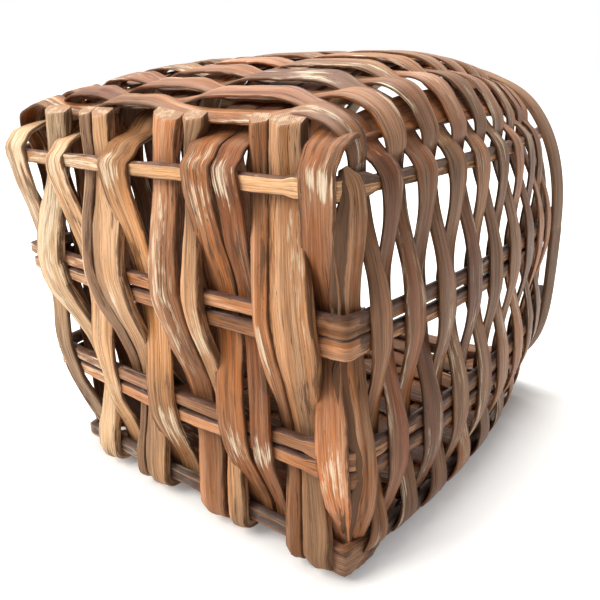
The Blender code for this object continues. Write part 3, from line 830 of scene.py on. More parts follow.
def wood(name, middle, seed, bark=None, streaks=0.75, cracks=0.9, pits=0.55, rough=(0.50, 0.72)):
    """Riven wood, with bark where the piece is marked with it."""
    colours = bpy.context.scene.basket_colours
    material = bpy.data.materials.new(name)
    material.use_nodes = True
    tree = material.node_tree
    shader = tree.nodes["Principled BSDF"]
    shader.inputs["Specular IOR Level"].default_value = WOOD_SHEEN
    where = {"Grain": add(tree, "ShaderNodeUVMap", uv_map="Grain").outputs[0],
             "Seed": (seed * 3.71, seed * 1.37, seed * 7.13)}
    grain = placed_group(tree, "Riven grain", grain_group, {
        **where, "Middle": middle, "Light": mixed(middle, colours.cream, LIGHT_SHARE),
        "Dark": mixed(middle, colours.umber, DARK_SHARE),
        "Streaks": streaks, "Cracks": cracks, "Pits": pits})
    shift = between(tree, mark(tree, "tone"), -1.0, 1.0, DARKEST_TONE, LIGHTEST_TONE)
    colour, height = scaled(tree, grain["Colour"], shift), grain["Height"]
    if bark is not None:
        skin = placed_group(tree, "Rod bark", bark_group, {
            **where, "Bark": bark, "Scar": mixed(bark, colours.cream, 0.35),
            "Dark": mixed(bark, colours.umber, 0.75)})
        edge = cloud(tree, stretched(tree, where["Grain"], (300.0, 40.0, 0.0), where["Seed"]))
        torn = sums(tree, "ADD", mark(tree, "bark"), sums(tree, "SUBTRACT", edge, 0.5))
        share = between(tree, torn, 0.40, 0.60)
        colour = blended(tree, share, colour, skin["Colour"])
        height = sums(tree, "ADD", product(tree, height, sums(tree, "SUBTRACT", 1.0, share)),
                      product(tree, skin["Height"], share))
    wear = placed_group(tree, "Wear, grime and shade", wear_group, {
        **where, "Colour": colour, "Worn Colour": (*colours.cream, 1.0),
        "Grime And Shade Colour": (*colours.umber, 1.0), "Worn": mark(tree, "worn"), "Grime And Shade": mark(tree, "dark")})
    feed(tree, shader.inputs["Base Color"], wear["Colour"])
    dry = sums(tree, "ADD", grain["Dry"], product(tree, wear["Worn"], 0.5), clamp=True)
    feed(tree, shader.inputs["Roughness"], between(tree, dry, 0.0, 1.0, *rough))
    raised(tree, shader, WOOD_RELIEF, WOOD_RELIEF_DEPTH, height)
    return material


def end_grain(name, middle, seed):
    """Sawn or broken end: growth rings, pores and a pale bloom."""
    colours = bpy.context.scene.basket_colours
    material = bpy.data.materials.new(name)
    material.use_nodes = True
    tree = material.node_tree
    shader = tree.nodes["Principled BSDF"]
    here = add(tree, "ShaderNodeTexCoord").outputs["Object"]
    moved = add(tree, "ShaderNodeMapping")
    feed(tree, moved.inputs["Vector"], here)
    feed(tree, moved.inputs["Location"], (0.013 * seed, 0.007 * seed, 0.0))
    rings = add(tree, "ShaderNodeTexWave", wave_type="RINGS", rings_direction="Z")
    for label, value in (("Vector", moved.outputs[0]), ("Scale", 190.0), ("Distortion", 3.0),
                         ("Detail", 2.0)):
        feed(tree, rings.inputs[label], value)
    pores = cloud(tree, here, scale=1400.0, detail=2.0)
    bloom = cloud(tree, here, scale=160.0)
    colour = blended(tree, between(tree, rings.outputs["Fac"], 0.2, 0.9, 0.0, 0.55), middle,
                     mixed(middle, colours.umber, 0.7))
    colour = blended(tree, between(tree, pores, 0.60, 0.72, 0.0, 0.7), colour,
                     (*colours.umber, 1.0))
    colour = blended(tree, between(tree, bloom, 0.45, 0.62, 0.0, 0.6), colour,
                     mixed(middle, colours.cream, 0.55))
    feed(tree, shader.inputs["Base Color"], colour)
    shader.inputs["Roughness"].default_value = 0.75
    raised(tree, shader, 0.6, 0.0005, sums(tree, "SUBTRACT", rings.outputs["Fac"], pores))
    return material


# Where things cross

TOP_LANES_TOWARD = 0.008


def weave_reach(thickness, outer_gap, inner_gap):
    """How far the middle of a piece lies in front of a rod's middle, and behind it."""
    split = bpy.context.scene.basket_sizes.split_depth
    return split * ROD_RADIUS + thickness / 2 + outer_gap, ROD_RADIUS + thickness / 2 + inner_gap


def weave_place(height, first, outside, inside):
    """Place in front of (minus) or behind the rods at a height of the base panel."""
    knots, values = [], []
    for number, group in enumerate(reversed(ROD_ROWS)):
        sign = first if (len(ROD_ROWS) - 1 - number) % 2 == 0 else -first
        for level in sorted(group):
            knots.append(level)
            values.append(inside if sign > 0 else -outside)
    return float(eased(np.array([height]), knots, values)[0])


def seen_edges(rows, height, toward):
    """Edges of a splint or stave in metres at a height, from the rows as they are seen."""
    rows = np.array(sorted(rows), float) / 1000
    level = height - SEEN_UPWARD * toward
    left = np.interp(level, rows[:, 0], rows[:, 1])
    right = np.interp(level, rows[:, 0], rows[:, 2])
    return left + SEEN_ACROSS * toward, right + SEEN_ACROSS * toward


def panel_row(rows, height, place, thickness):
    """Row of a path on the base panel: point, direction across and half widths."""
    middle = 0.0
    for _ in range(2):
        y = place - bow(middle, height)
        left, right = seen_edges(rows, height, -y + thickness / 2)
        middle = (left + right) / 2
    half = (right - left) / 2
    return [middle, y, height, 1.0, 0.0, 0.0, half, half]


def lane_shares(upper):
    """Shares of the way across at which the long splints lie on the top or bottom wall."""
    height, toward = (TOP_ROD, TOP_LANES_TOWARD) if upper else (RIM_ROD, 0.0)
    edges = {name: seen_edges(rows, height, toward) for name, rows in SPLINT_ROWS.items()}
    left, right = edges["long_splint_6"][0], edges["long_splint_1"][1]
    return {name: tuple((edge - left) / (right - left) for edge in pair)
            for name, pair in edges.items()}


SHARES = {True: lane_shares(True), False: lane_shares(False)}


def lane_angles(name, depth, upper):
    """Angles of both edges of a long splint on the top or the bottom wall."""
    angles, lengths = wall_table(depth, upper)
    margin = SHOULDER_MARGIN if upper else FOOT_MARGIN
    room = lengths[-1] - 2 * margin
    return [float(np.interp(margin + room * share, lengths, angles))
            for share in SHARES[upper][name]]


def wall_row(name, depth, upper):
    """Row of a long splint's path on the top or the bottom wall."""
    points, _ = wall_points(depth, np.array(lane_angles(name, depth, upper)))
    way = points[1] - points[0]
    half = np.linalg.norm(way) / 2
    return [*((points[0] + points[1]) / 2), *(way / (2 * half)), half, half]


SPOTS_DEPTH = 0.035


def spots(path, shares, rows):
    """Mask over the part of a strip that is near the base, from rows of places on it."""
    height = path["point"][:, 2:3] * 1000
    front = (path["point"][:, 1:2] < SPOTS_DEPTH) * 1.0
    total = np.zeros((len(height), len(shares)))
    for middle, reach, side, breadth, strength in rows:
        along = np.exp(-((height - middle) / reach) ** 2)
        over = np.exp(-((shares[None, :] - side) / breadth) ** 2)
        total = np.maximum(total, strength * along * over * front)
    return total


def wear_grime_and_shade(path, shares, node, wear, dirt, edge_shade_and_grime, edge, run):
    """Marks of wear and dirt on a piece, with dark edges that are painted contact shade and dirt."""
    edges = edge_shade_and_grime * ease((np.abs(shares[None, :]) - edge) / run)
    return {"worn": spots(path, shares, wear[node]),
            "dark": np.maximum(spots(path, shares, dirt.get(node, ())), edges)}


def band_rows():
    """Depth on the side walls, shift on the top and half width of every band."""
    last = BAND_COUNT - 1
    steps = [min(FIRST_BAND_STEP + BAND_STEP_CHANGE * index, BAND_STEP,
                 LAST_BAND_STEP + BAND_STEP_CHANGE * (last - 1 - index)) for index in range(last)]
    depth = FIRST_BAND_DEPTH
    rows = []
    for index in range(BAND_COUNT):
        room = min(steps[max(index - 1, 0)], steps[min(index, last - 1)])
        rows.append((depth, FIRST_BAND_PULL * (1 - index / last), (room - BAND_GAP) / 2))
        depth += steps[min(index, last - 1)]
    return rows


# The rods: one fold at each corner of the base, square and flattened at the near corner

MOUTH_REACH = BODY_DEPTH - HOOP_INSET
ROD_CORNER = 0.0020
ROD_SPACING = 0.0018
ROD_SWAY = (0.0012, 14, 0.0006, 18)
ROD_SWELL = (0.08, 22, 0.05, 70)
FOLD_REACH = 0.030
FOLD_RUN = 0.012
SQUARE_REACH = 0.022
SQUARE_RUN = 0.008
RIM_FOLD_DROP = 1.1
RIM_FOLD_RISE = 0.6
RIM_SWELLING = (1.18, 1.12)
FACE_COLUMNS = 9
BARK_COLUMNS = 20
ROD_COLUMNS = FACE_COLUMNS + BARK_COLUMNS
FOLD_ROUGHNESS = (0.0006, 420, 0.7)
ROD_ROUGHNESS = (0.00022, 160, 0.45)
KNOTS_PER_ROD = 6
KNOT_MARGIN = 0.05
KNOT_LENGTH = 0.005
KNOT_HEIGHT = 0.0010
KNOT_COLUMN = 12
KNOT_COLUMNS = 6.0

# Colour of the riven face and of the bark
ROD_TONES = {
    "rod_top": ((236, 176, 122), (124, 92, 80)),
    "rod_rim": ((150, 102, 72), (92, 84, 82)),
}
PAIRED_ROD_TONES = ((180, 118, 74), (112, 84, 76))
ROD_END_TONE = (168, 132, 100)

# Bark left on both edges of the riven face; dirt at knots and at the near corner; on the right wall, which
# is turned away from the light, painted shade and dirt, and bark covers a part of the face too
BARK_EDGES = (0.45, 0.55)
KNOT_DIRT = 0.7
FOLD_DIRT = 0.45
FOLD_DIRT_REACH = 0.006
WALL_SHADE_AND_GRIME = 0.60
WALL_BARK = 0.9
WALL_BARK_COLUMN = 5
BASE_DEPTH = 0.01


def rod_line(height):
    """Points of a rod from the mouth along the left wall, across the base and back."""
    left, right = wall_x(0.0, height, -1), wall_x(0.0, height, 1)
    depths = np.concatenate((np.linspace(MOUTH_REACH, 0.05, 26), np.linspace(0.04, ROD_CORNER, 6)))
    fold = 0.3 * ROD_CORNER
    points = [rod_place(depth, height, -1) for depth in depths]
    points.append((left + fold, fold, height))
    points.extend((x, -bow(x, height), height)
                  for x in np.linspace(left + ROD_CORNER, right - ROD_CORNER, 34))
    points.append((right - fold, fold, height))
    points.extend(rod_place(depth, height, 1) for depth in depths[::-1])
    rows = [[*point, 0.0, 0.0, 1.0, ROD_RADIUS, ROD_RADIUS] for point in points]
    return left, right, smooth_rows(rows, ROD_SPACING)


def rod_section(split_depth):
    """A round rod with a flat face split off outward."""
    edge = math.acos(split_depth)
    turned = np.linspace(edge, 2 * math.pi - edge, BARK_COLUMNS + 2)[1:-1]
    shares = np.concatenate((np.linspace(-math.sin(edge), math.sin(edge), FACE_COLUMNS), np.sin(turned)))
    heights = np.concatenate((np.full(FACE_COLUMNS, split_depth), np.cos(turned)))
    return shares, heights, FACE_COLUMNS


def rod_knots(along, seed):
    """Height over the rod of the small knots where twigs grew, from 0 to 1."""
    places = np.random.RandomState(seed).uniform(KNOT_MARGIN, along[-1] - KNOT_MARGIN, KNOTS_PER_ROD)
    side = np.exp(-((np.arange(ROD_COLUMNS)[None, :] - KNOT_COLUMN) / KNOT_COLUMNS) ** 2)
    return [np.exp(-((along[:, None] - place) / KNOT_LENGTH) ** 2) * side for place in places]


def rod_marks(node, point, away, knots):
    """Bark, dirt, painted shade and wear over a rod's grid; the right wall's part is painted darker as
    shade and dirt, and is barkier.
    """
    rim = node == "rod_rim"
    bark = np.tile(np.concatenate((np.zeros(FACE_COLUMNS), np.ones(BARK_COLUMNS))), (len(point), 1))
    bark[:, 0], bark[:, FACE_COLUMNS - 1] = BARK_EDGES
    dark = KNOT_DIRT * np.max(knots, axis=0)
    dark = np.maximum(dark, FOLD_DIRT * np.exp(-(away / FOLD_DIRT_REACH) ** 2)[:, None])
    right_wall = ease((point[:, 1:2] - 0.004) / 0.012) * (point[:, :1] > 0)
    # rods on the right wall, away from the light, are painted darker: painted shade and dirt
    dark = np.maximum(dark, WALL_SHADE_AND_GRIME * right_wall)
    covered = slice(WALL_BARK_COLUMN, FACE_COLUMNS)
    bark[:, covered] = np.maximum(bark[:, covered], WALL_BARK * right_wall)
    on_base = point[:, 1:2] < BASE_DEPTH
    worn = np.zeros(bark.shape)
    if rim:
        bark[:, 1:7] = 0.9
        bark[:, 0:2] = 0.1
        bark *= 1 - ease((0.026 - away[:, None]) / 0.004)
        dark = np.maximum(dark, 0.25 * bark)
    elif node == "rod_top":
        worn[:, :FACE_COLUMNS] += 0.75 * np.exp(-((point[:, :1] + 0.12) / 0.07) ** 2) * on_base
    else:
        worn[:, :FACE_COLUMNS] += 0.35 * ease((-0.02 - point[:, :1]) / 0.12) * on_base
    return {"bark": bark, "dark": dark, "worn": worn}


def make_rod(node, height, sizes, seed):
    """A split rod: flat face outward, bark behind, folded square at the near corner."""
    rim = node == "rod_rim"
    left, right, rows = rod_line(height)
    point = rows[:, :3]
    along = run_lengths(np.linalg.norm(np.diff(point, axis=0), axis=1))
    rise, rise_turns, push, push_turns = ROD_SWAY
    rows[:, 2] += rise * soft_noise(along * rise_turns, 0.3, seed)
    rows[:, 1] += push * soft_noise(along * push_turns, 0.7, seed + 1)
    away = np.hypot(point[:, 0] - right, point[:, 1])
    fold = 1 - ease((away - FOLD_REACH) / FOLD_RUN)
    slow, slow_turns, fine, fine_turns = ROD_SWELL
    swell = (1 + slow * soft_noise(along * slow_turns, 0.2, seed + 4)
             + fine * soft_noise(along * fine_turns, 0.5, seed + 5))
    rows[:, 6] *= swell * (1 + fold * (sizes.rod_squash + (RIM_FOLD_DROP if rim else 0.0)))
    rows[:, 7] *= swell * (1 + fold * sizes.rod_squash * (RIM_FOLD_RISE if rim else 1.0))
    if rim:
        rows[:, 6:8] *= RIM_SWELLING
    path = path_of(rows)
    nearest = np.minimum(away, np.hypot(point[:, 0] - left, point[:, 1]))
    facing = np.max(np.abs(path["outward"][:, :2]), axis=1)
    square = (1 / np.maximum(facing, 0.7) - 1) * ease((SQUARE_REACH - nearest) / SQUARE_RUN)
    shape = rod_section(sizes.split_depth)
    lift = square[:, None] * np.maximum(shape[1], 0.0)[None, :] * ROD_RADIUS
    columns = np.arange(ROD_COLUMNS)[None, :]
    for (strength, turns, step), shift, share in ((FOLD_ROUGHNESS, 6, fold[:, None]),
                                                  (ROD_ROUGHNESS, 8, 1.0)):
        lift = lift + share * strength * soft_noise(along[:, None] * turns, columns * step, seed + shift)
    knots = rod_knots(along, seed + 9)
    lift = lift + KNOT_HEIGHT * sum(knots)
    piece = lay_strip(node, path, shape, 2 * ROD_RADIUS, sizes.fibre_relief, seed,
                      marks=rod_marks(node, point, away, knots), lift=lift)
    middle, bark = (tone(*colour) for colour in ROD_TONES.get(node, PAIRED_ROD_TONES))
    place_in_frame(piece, node, "dark_rod" if rim else "bark_rod",
                   wood(node + "_wood", middle, seed, bark, streaks=0.65, pits=0.4, rough=(0.36, 0.6)),
                   end_grain(node + "_end", tone(*ROD_END_TONE), seed))


class OBJECT_OT_basket_rods(bpy.types.Operator):
    """Make the six split rods that run along the side walls and across the base"""

    bl_idname = "object.basket_rods"
    bl_label = "Split rods"

    def execute(self, context):
        for number, (node, height) in enumerate(RODS):
            make_rod(node, height, context.scene.basket_sizes, ROD_SEED + SEED_STEP * number)
        return {"FINISHED"}


# The long splints

SPLINT_TONES = {
    "long_splint_1": (178, 108, 62),
    "long_splint_2": (172, 100, 54),
    "long_splint_3": (186, 114, 62),
    "long_splint_4": (194, 132, 78),
    "long_splint_5": (200, 152, 108),
    "long_splint_6": (200, 160, 122),
}

# Worn places of the splints: height and half length in millimetres, side of the
# strip from -1 to 1, breadth, strength
SPLINT_WEAR = {
    "long_splint_1": ((304, 10, 0.1, 1.2, 0.9), (92, 20, -0.1, 0.9, 0.55), (200, 30, 0.5, 0.4, 0.3)),
    "long_splint_2": ((296, 14, 0.0, 1.0, 0.9), (84, 12, 0.1, 0.8, 0.9)),
    "long_splint_3": ((290, 24, 0.1, 0.8, 0.6), (84, 15, -0.1, 0.8, 0.85)),
    "long_splint_4": ((292, 12, -0.1, 0.6, 1.0), (70, 22, 0.4, 0.8, 0.7)),
    "long_splint_5": ((288, 20, 0.0, 1.1, 0.95), (82, 13, 0.2, 0.8, 0.7)),
    "long_splint_6": ((298, 17, 0.2, 0.9, 1.0), (235, 45, -0.2, 0.6, 0.6)),
}
SPLINT_DIRT = {
    "long_splint_1": ((320, 14, 0.7, 0.5, 0.8), (215, 26, -0.6, 0.5, 0.45), (40, 26, 0.0, 1.0, 0.45)),
    "long_splint_2": ((250, 45, 0.2, 0.8, 0.5), (150, 30, 0.6, 0.5, 0.5), (35, 18, 0.0, 1.0, 0.5)),
    "long_splint_3": ((235, 30, 0.5, 0.7, 0.4), (40, 22, 0.3, 0.8, 0.4)),
    "long_splint_4": ((310, 12, 0.5, 0.6, 0.4), (225, 25, -0.5, 0.6, 0.35), (120, 20, 0.7, 0.3, 0.4)),
    "long_splint_5": ((240, 30, 0.3, 0.6, 0.45), (60, 20, -0.4, 0.6, 0.4)),
    "long_splint_6": ((265, 25, 0.5, 0.6, 0.6), (60, 20, 0.0, 1.0, 0.4)),
}

# The fold over the shoulder: depth, height over the crest and share of the way to the top
SHOULDER_STEPS = ((0.026, 0.0045, 0.55), (0.012, 0.0005, 0.25), (0.002, -0.004, 0.08),
                  (-0.0025, -0.0095, 0.0))
SHOULDER_DEPTH = 0.045
SHOULDER_TWIST = 0.13
FOOT_HEIGHT = 0.011
FOOT_DEPTHS = (0.015, 0.024, 0.030)
SPLINT_SPACING = 0.004
SPLINT_COLUMNS = (21, 9)
SPLINT_CROWN = 0.16
SPLINT_EDGE = 0.55
SPLINT_GAPS = (0.0005, 0.0006)
SPLINT_FRAY = ((0.05, 20), (0.035, 75))
SPLINT_UNEVEN = (0.0004, 30)
SPLINT_CUP = (0.0007, 11)
SPLINT_END_TONE = (176, 134, 96)

# Painted contact shade and dirt along both edges: strength, where it starts and how fast it comes
SPLINT_EDGE_SHADE_AND_GRIME = (0.75, 0.86, 0.12)


def splint_line(node, thickness):
    """Rows of a long splint's path from the mouth over the shoulder, down the base and back."""
    outside, inside = weave_reach(thickness, *SPLINT_GAPS)
    crest = SHOULDER_CRESTS[node]
    rows = []
    for depth in np.linspace(MOUTH_REACH, SHOULDER_DEPTH, 18):
        row = wall_row(node, depth, True)
        row[2] -= (HEIGHTS[0] - crest) * (1 - ease(depth / SHOULDER_SLOPE))
        row[5] *= 0.2 + 0.8 * ease(depth / SHOULDER_TWIST)
        rows.append(row)
    front = [panel_row(SPLINT_ROWS[node], height, weave_place(height, -1, outside, inside), thickness)
             for height in np.arange(crest - 0.016, 0.021, -0.006)]
    if node == "long_splint_1":
        for row in front:
            row[7] -= FOOT_ROOM * (1 - ease((row[2] - 0.03) / 0.05))
            row[7] -= SIDE_ROOM * (1 - ease((row[2] - 0.15) / 0.04))
    first, last, back = front[0], front[-1], rows[-1]
    for y, z, share in SHOULDER_STEPS:
        middle = [a + (b - a) * share for a, b in zip(first, back)]
        rows.append([middle[0], y, crest + z, *middle[3:]])
    rows.extend(front)
    under, level, after = FOOT_DEPTHS
    low = wall_row(node, level, False)
    rows.append([last[0], last[1] + 0.002, FOOT_HEIGHT, *last[3:]])
    rows.append([(last[0] + low[0]) / 2, under, low[2] + 0.0022, *low[3:]])
    rows.extend(wall_row(node, depth, False) for depth in np.linspace(after, MOUTH_REACH, 16))
    return smooth_rows(rows, SPLINT_SPACING)


def make_splint(node, sizes, seed):
    """A long flat splint that wraps the top wall, the base and the wall below."""
    thickness = sizes.splint_thickness
    path = path_of(splint_line(node, thickness))
    along = path["length"]
    fray(path, seed, *SPLINT_FRAY)
    height, turns = SPLINT_UNEVEN
    uneven = height * soft_noise(along * turns, 0.6, seed + 2)
    path["point"] = path["point"] + path["outward"] * uneven[:, None]
    shape = flat_section(*SPLINT_COLUMNS, SPLINT_CROWN, SPLINT_EDGE)
    shares = shape[0]
    height, turns = SPLINT_CUP
    cup = height * soft_noise(along[:, None] * turns, 0.2, seed + 8) * (shares[None, :] ** 2 - 0.3)
    marks = wear_grime_and_shade(path, shares, node, SPLINT_WEAR, SPLINT_DIRT, *SPLINT_EDGE_SHADE_AND_GRIME)
    piece = lay_strip(node, path, shape, thickness, sizes.fibre_relief, seed, marks=marks, lift=cup)
    place_in_frame(piece, node, "honey_splint",
                   wood(node + "_wood", tone(*SPLINT_TONES[node]), seed, streaks=0.85),
                   end_grain(node + "_end", tone(*SPLINT_END_TONE), seed))


class OBJECT_OT_basket_splints(bpy.types.Operator):
    """Make the six long flat splints that wrap the top wall, the base and the wall below"""

    bl_idname = "object.basket_splints"
    bl_label = "Long splints"

    def execute(self, context):
        for number, node in enumerate(SPLINT_ROWS):
            make_splint(node, context.scene.basket_sizes, SPLINT_SEED + SEED_STEP * number)
        return {"FINISHED"}


# The half-round staves

STAVE_TONES = {
    "base_stave_1": (180, 124, 80),
    "base_stave_2": (176, 114, 70),
    "base_stave_3": (188, 134, 90),
    "base_stave_4": (182, 120, 78),
    "base_stave_5": (192, 146, 106),
    "base_stave_6": (186, 136, 100),
    "base_stave_7": (208, 168, 128),
}
STAVE_WEAR = {
    "base_stave_1": ((240, 60, 0.6, 0.4, 0.3),),
    "base_stave_2": ((178, 16, -0.4, 0.7, 0.9),),
    "base_stave_3": ((172, 24, 0.0, 0.8, 0.9),),
    "base_stave_4": ((215, 70, -0.3, 0.8, 0.6),),
    "base_stave_5": ((186, 12, 0.0, 0.9, 0.6),),
    "base_stave_6": ((235, 60, -0.7, 0.4, 0.8),),
    "base_stave_7": ((235, 70, 0.0, 1.2, 0.8), (320, 20, 0.0, 1.0, 0.4)),
}
STAVE_DIRT = {
    "base_stave_1": ((275, 40, -0.7, 0.4, 0.6), (145, 22, 0.5, 0.6, 0.5)),
    "base_stave_2": ((270, 50, 0.7, 0.5, 0.5),),
    "base_stave_4": ((150, 20, 0.7, 0.5, 0.4), (280, 30, 0.8, 0.4, 0.5)),
    "base_stave_5": ((270, 40, 0.8, 0.4, 0.6),),
    "base_stave_6": ((235, 70, 0.7, 0.5, 0.6),),
}

# Brightness of the left and the right facet: mostly painted light and shade, with the facet turned to the
# lamp at the left lighter, and partly the wood's own tone
STAVE_FACET_LIGHT_AND_TONE = {
    "base_stave_1": (0.35, -0.15),
    "base_stave_2": (0.1, -0.6),
    "base_stave_3": (0.5, -0.7),
    "base_stave_4": (0.7, -0.1),
    "base_stave_5": (-0.5, 0.4),
    "base_stave_6": (0.7, -0.8),
    "base_stave_7": (0.5, 0.0),
}

# The fold under the rim rod: depth past the last row, height and share of the width
STAVE_FOOT = ((0.0015, 0.0075, 1.0), (0.0065, 0.0035, 0.97), (0.0130, 0.0022, 0.92),
              (0.0200, 0.0022, 0.88))
STAVE_SPACING = 0.0035
STAVE_GAPS = (0.0004, 0.0004)
STAVE_FRAY = ((0.05, 22), (0.04, 90))
# Painted contact shade and dirt along both edges of a stave: strength, where it starts and how fast it
# comes
STAVE_EDGE_SHADE_AND_GRIME = (0.7, 0.88, 0.1)
STAVE_END_TONE = (176, 136, 106)
STUB_RISE = 0.03
STUB_END_SLANTS = (-0.60, -0.25)
FACET_RIDGE = -0.15


def stave_line(node, thickness):
    """Rows of a stave's path from its sawn end down the base and under the rim rod."""
    outside, inside = weave_reach(thickness, *STAVE_GAPS)
    rows = [panel_row(STAVE_ROWS[node], height, weave_place(height, 1, outside, inside), thickness)
            for height in np.arange(STUB_HEIGHT, 0.013, -0.007)]
    last = rows[-1]
    for y, z, share in STAVE_FOOT:
        rows.append([last[0], last[1] + y, z, 1.0, 0.0, 0.0, last[6] * share, last[7] * share])
    return smooth_rows(rows, STAVE_SPACING)


def make_stave(node, sizes, seed):
    """A half-round stave, sawn off above the top rod and folded under the rim rod."""
    path = path_of(stave_line(node, sizes.stave_thickness))
    along = path["length"]
    fray(path, seed, *STAVE_FRAY)
    for row, slant in enumerate(STUB_END_SLANTS):
        path["outward"][row] = unit(np.array((0.0, -1.0, slant)))
    shape = stave_section()
    shares, heights, _ = shape
    above = ease((path["point"][:, 2] - TOP_ROD) / STUB_RISE)[:, None]
    ridge = 0.0006 * soft_noise(along[:, None] * 30, shares[None, :] * 2.5, seed + 9)
    lift = ridge * (heights[None, :] > 0) + above * STUB_SWELL * np.maximum(heights, 0.0)[None, :]
    marks = wear_grime_and_shade(path, shares, node, STAVE_WEAR, STAVE_DIRT, *STAVE_EDGE_SHADE_AND_GRIME)
    # painted light and shade on the two facets, partly the wood's own tone
    marks["tone"] = np.where(shares < FACET_RIDGE, *STAVE_FACET_LIGHT_AND_TONE[node])[None, :]
    piece = lay_strip(node, path, shape, sizes.stave_thickness, sizes.fibre_relief * 0.8, seed,
                      marks=marks, lift=lift)
    place_in_frame(piece, node, "split_stave",
                   wood(node + "_wood", tone(*STAVE_TONES[node]), seed, streaks=0.7),
                   end_grain(node + "_end", tone(*STAVE_END_TONE), seed))


class OBJECT_OT_basket_staves(bpy.types.Operator):
    """Make the seven half-round staves of the base"""

    bl_idname = "object.basket_staves"
    bl_label = "Base staves"

    def execute(self, context):
        for number, node in enumerate(STAVE_ROWS):
            make_stave(node, context.scene.basket_sizes, STAVE_SEED + SEED_STEP * number)
        return {"FINISHED"}


# The woven bands

BAND_TONE = (154, 94, 50)
CORNER_TONE = (160, 96, 56)
BAND_END_TONE = (150, 118, 92)
BAND_LIGHTNESS = (-22, 18)
BAND_TINT = (-5, 5)
BAND_SPACING = 0.004
BAND_COLUMNS = (13, 7)
BAND_FALL = 0.55
BAND_RIDGE = 0.35
BAND_RELIEF = 0.7
BAND_WAVES = 5
BAND_SWAY = 0.0010
BAND_RAGGED = 0.05
LANE_GAP = 0.0008
ROD_GAP = 0.0005

# How near the base a band's middle may lie, in half widths
BAND_LEAST_DEPTH = 0.72
CORNER_LEAST_DEPTH = 0.4
EDGE_LEAST_DEPTH = 0.0005

# Part of the outward direction at which a wall starts to count as the top or a hidden one
TOP_START = 0.45
HIDDEN_START = 0.3
TURNED_RUN = 0.4

# The near corner strip: how it fades out, its tip, its inner side and the painted shade on that side, which
# turns into a recess
CORNER_FADE = 0.04
CORNER_TIP_SHARE = 0.35
CORNER_UNEVEN = (0.0007, 60)
CORNER_SIDE_REACH = 0.022
CORNER_SIDE_SHADE = (3.0, -0.30, 0.25)

# Painted shade and dirt along both edges of a band: strength and its change, where it starts and how fast
BAND_EDGE_SHADE_AND_GRIME = (0.60, 0.24)
BAND_EDGE_SHADE_AND_GRIME_START = 0.80
BAND_EDGE_SHADE_AND_GRIME_RUN = 0.18
BAND_WORN = 0.5
FACET_DRIFT = 0.3


def turned_to(part, start):
    """Soft step from 0 to 1 where a part of the outward direction passes a start."""
    return ease((part - start) / TURNED_RUN)


def band_crossings(index, side_depth, pull, reach_rod, reach_lane):
    """Angle, offset from the wall and depth of a band at every crossing, once round."""
    over = side_depth + pull - TOP_DRAWN_BACK * max(0.0, 1 - (index - 1) / (BAND_COUNT - 2))
    groups = []
    for group in ROD_ROWS:
        depths = [side_depth + BAND_SLANT * min(1.0, index / 2) * min(0.0, height - MIDDLE_PAIR)
                  for height in group]
        groups.append([(angle_at_height(depth, float(rod_level(height, depth)), 1), True, depth)
                       for height, depth in zip(group, depths)])
    for names in reversed(WOVEN_TOGETHER):
        groups.append([(angle, False, side_depth + pull) for name in reversed(names)
                       for angle in reversed(lane_angles(name, side_depth + pull, False))])
    for group in reversed(ROD_ROWS):
        groups.append([(angle_at_height(side_depth, float(rod_level(height, side_depth)), -1), True,
                        side_depth) for height in reversed(group)])
    for names in WOVEN_TOGETHER:
        groups.append([(angle, False, over) for name in names
                       for angle in lane_angles(name, side_depth + pull, True)])
    rows = []
    for number, group in enumerate(groups):
        for angle, rod, depth in group:
            outside = (index + number) % 2 == 0 or (index == 0 and not rod)
            reach = reach_rod if rod else (reach_lane, reach_lane)
            rows.append((angle, reach[0] if outside else -reach[1], depth))
    return rows


def band_course(index, side_depth, pull, sizes):
    """Places and angles of a band's rows, and length, offset and depth of its crossings."""
    thickness = sizes.band_thickness
    reach_lane = (sizes.splint_thickness + thickness) / 2 + LANE_GAP
    rows = band_crossings(index, side_depth, pull, weave_reach(thickness, ROD_GAP, ROD_GAP), reach_lane)
    start = (rows[0][0] + rows[-1][0]) / 2
    if rows[-1][0] < rows[0][0]:
        start += math.pi
    rows = sorted(((start - angle) % (2 * math.pi), offset, depth) for angle, offset, depth in rows)
    turned, offsets, depths = np.array(rows).T
    table = round_table(side_depth + pull, start)
    whole = table[1][-1]
    at = np.interp(turned, *table)
    at = np.concatenate(((at[-1] - whole,), at, (at[0] + whole,)))
    offsets = np.concatenate((offsets[-1:], offsets, offsets[:1]))
    depths = np.concatenate((depths[-1:], depths, depths[:1]))
    places = np.linspace(0.0, whole, int(whole / BAND_SPACING), endpoint=False)
    if index == 0:
        _, outward = wall_points(depths, start - at, 0.0)
        depths = depths - CORNER_PULL * (offsets > 0) * (outward[:, 0] > 0.5)
        end = np.interp(turned[np.argmax(turned > CORNER_BAND_END)], *table)
        places = places[places < end]
    angle = start - np.interp(places, table[1], table[0])
    return places, whole, angle, at, offsets, depths, reach_lane


def band_widths(half, turn, nearest, outward, phases):
    """Half width of a band along its course."""
    waves = sum(BAND_RAGGED / (wave + 1) * np.sin((2 * wave + 3) * turn + phase * 3)
                for wave, phase in enumerate(phases))
    width = half * (1 + waves)
    width = width * (BAND_SPREAD - BETWEEN_NARROWING * ease(nearest / BETWEEN_REACH))
    hidden = turned_to(-outward[:, 0], HIDDEN_START) + turned_to(-outward[:, 2], HIDDEN_START)
    width = width * (1 + HIDDEN_BAND_WIDENING * hidden)
    return width * (1 + TOP_BAND_WIDENING * turned_to(outward[:, 2], TOP_START))


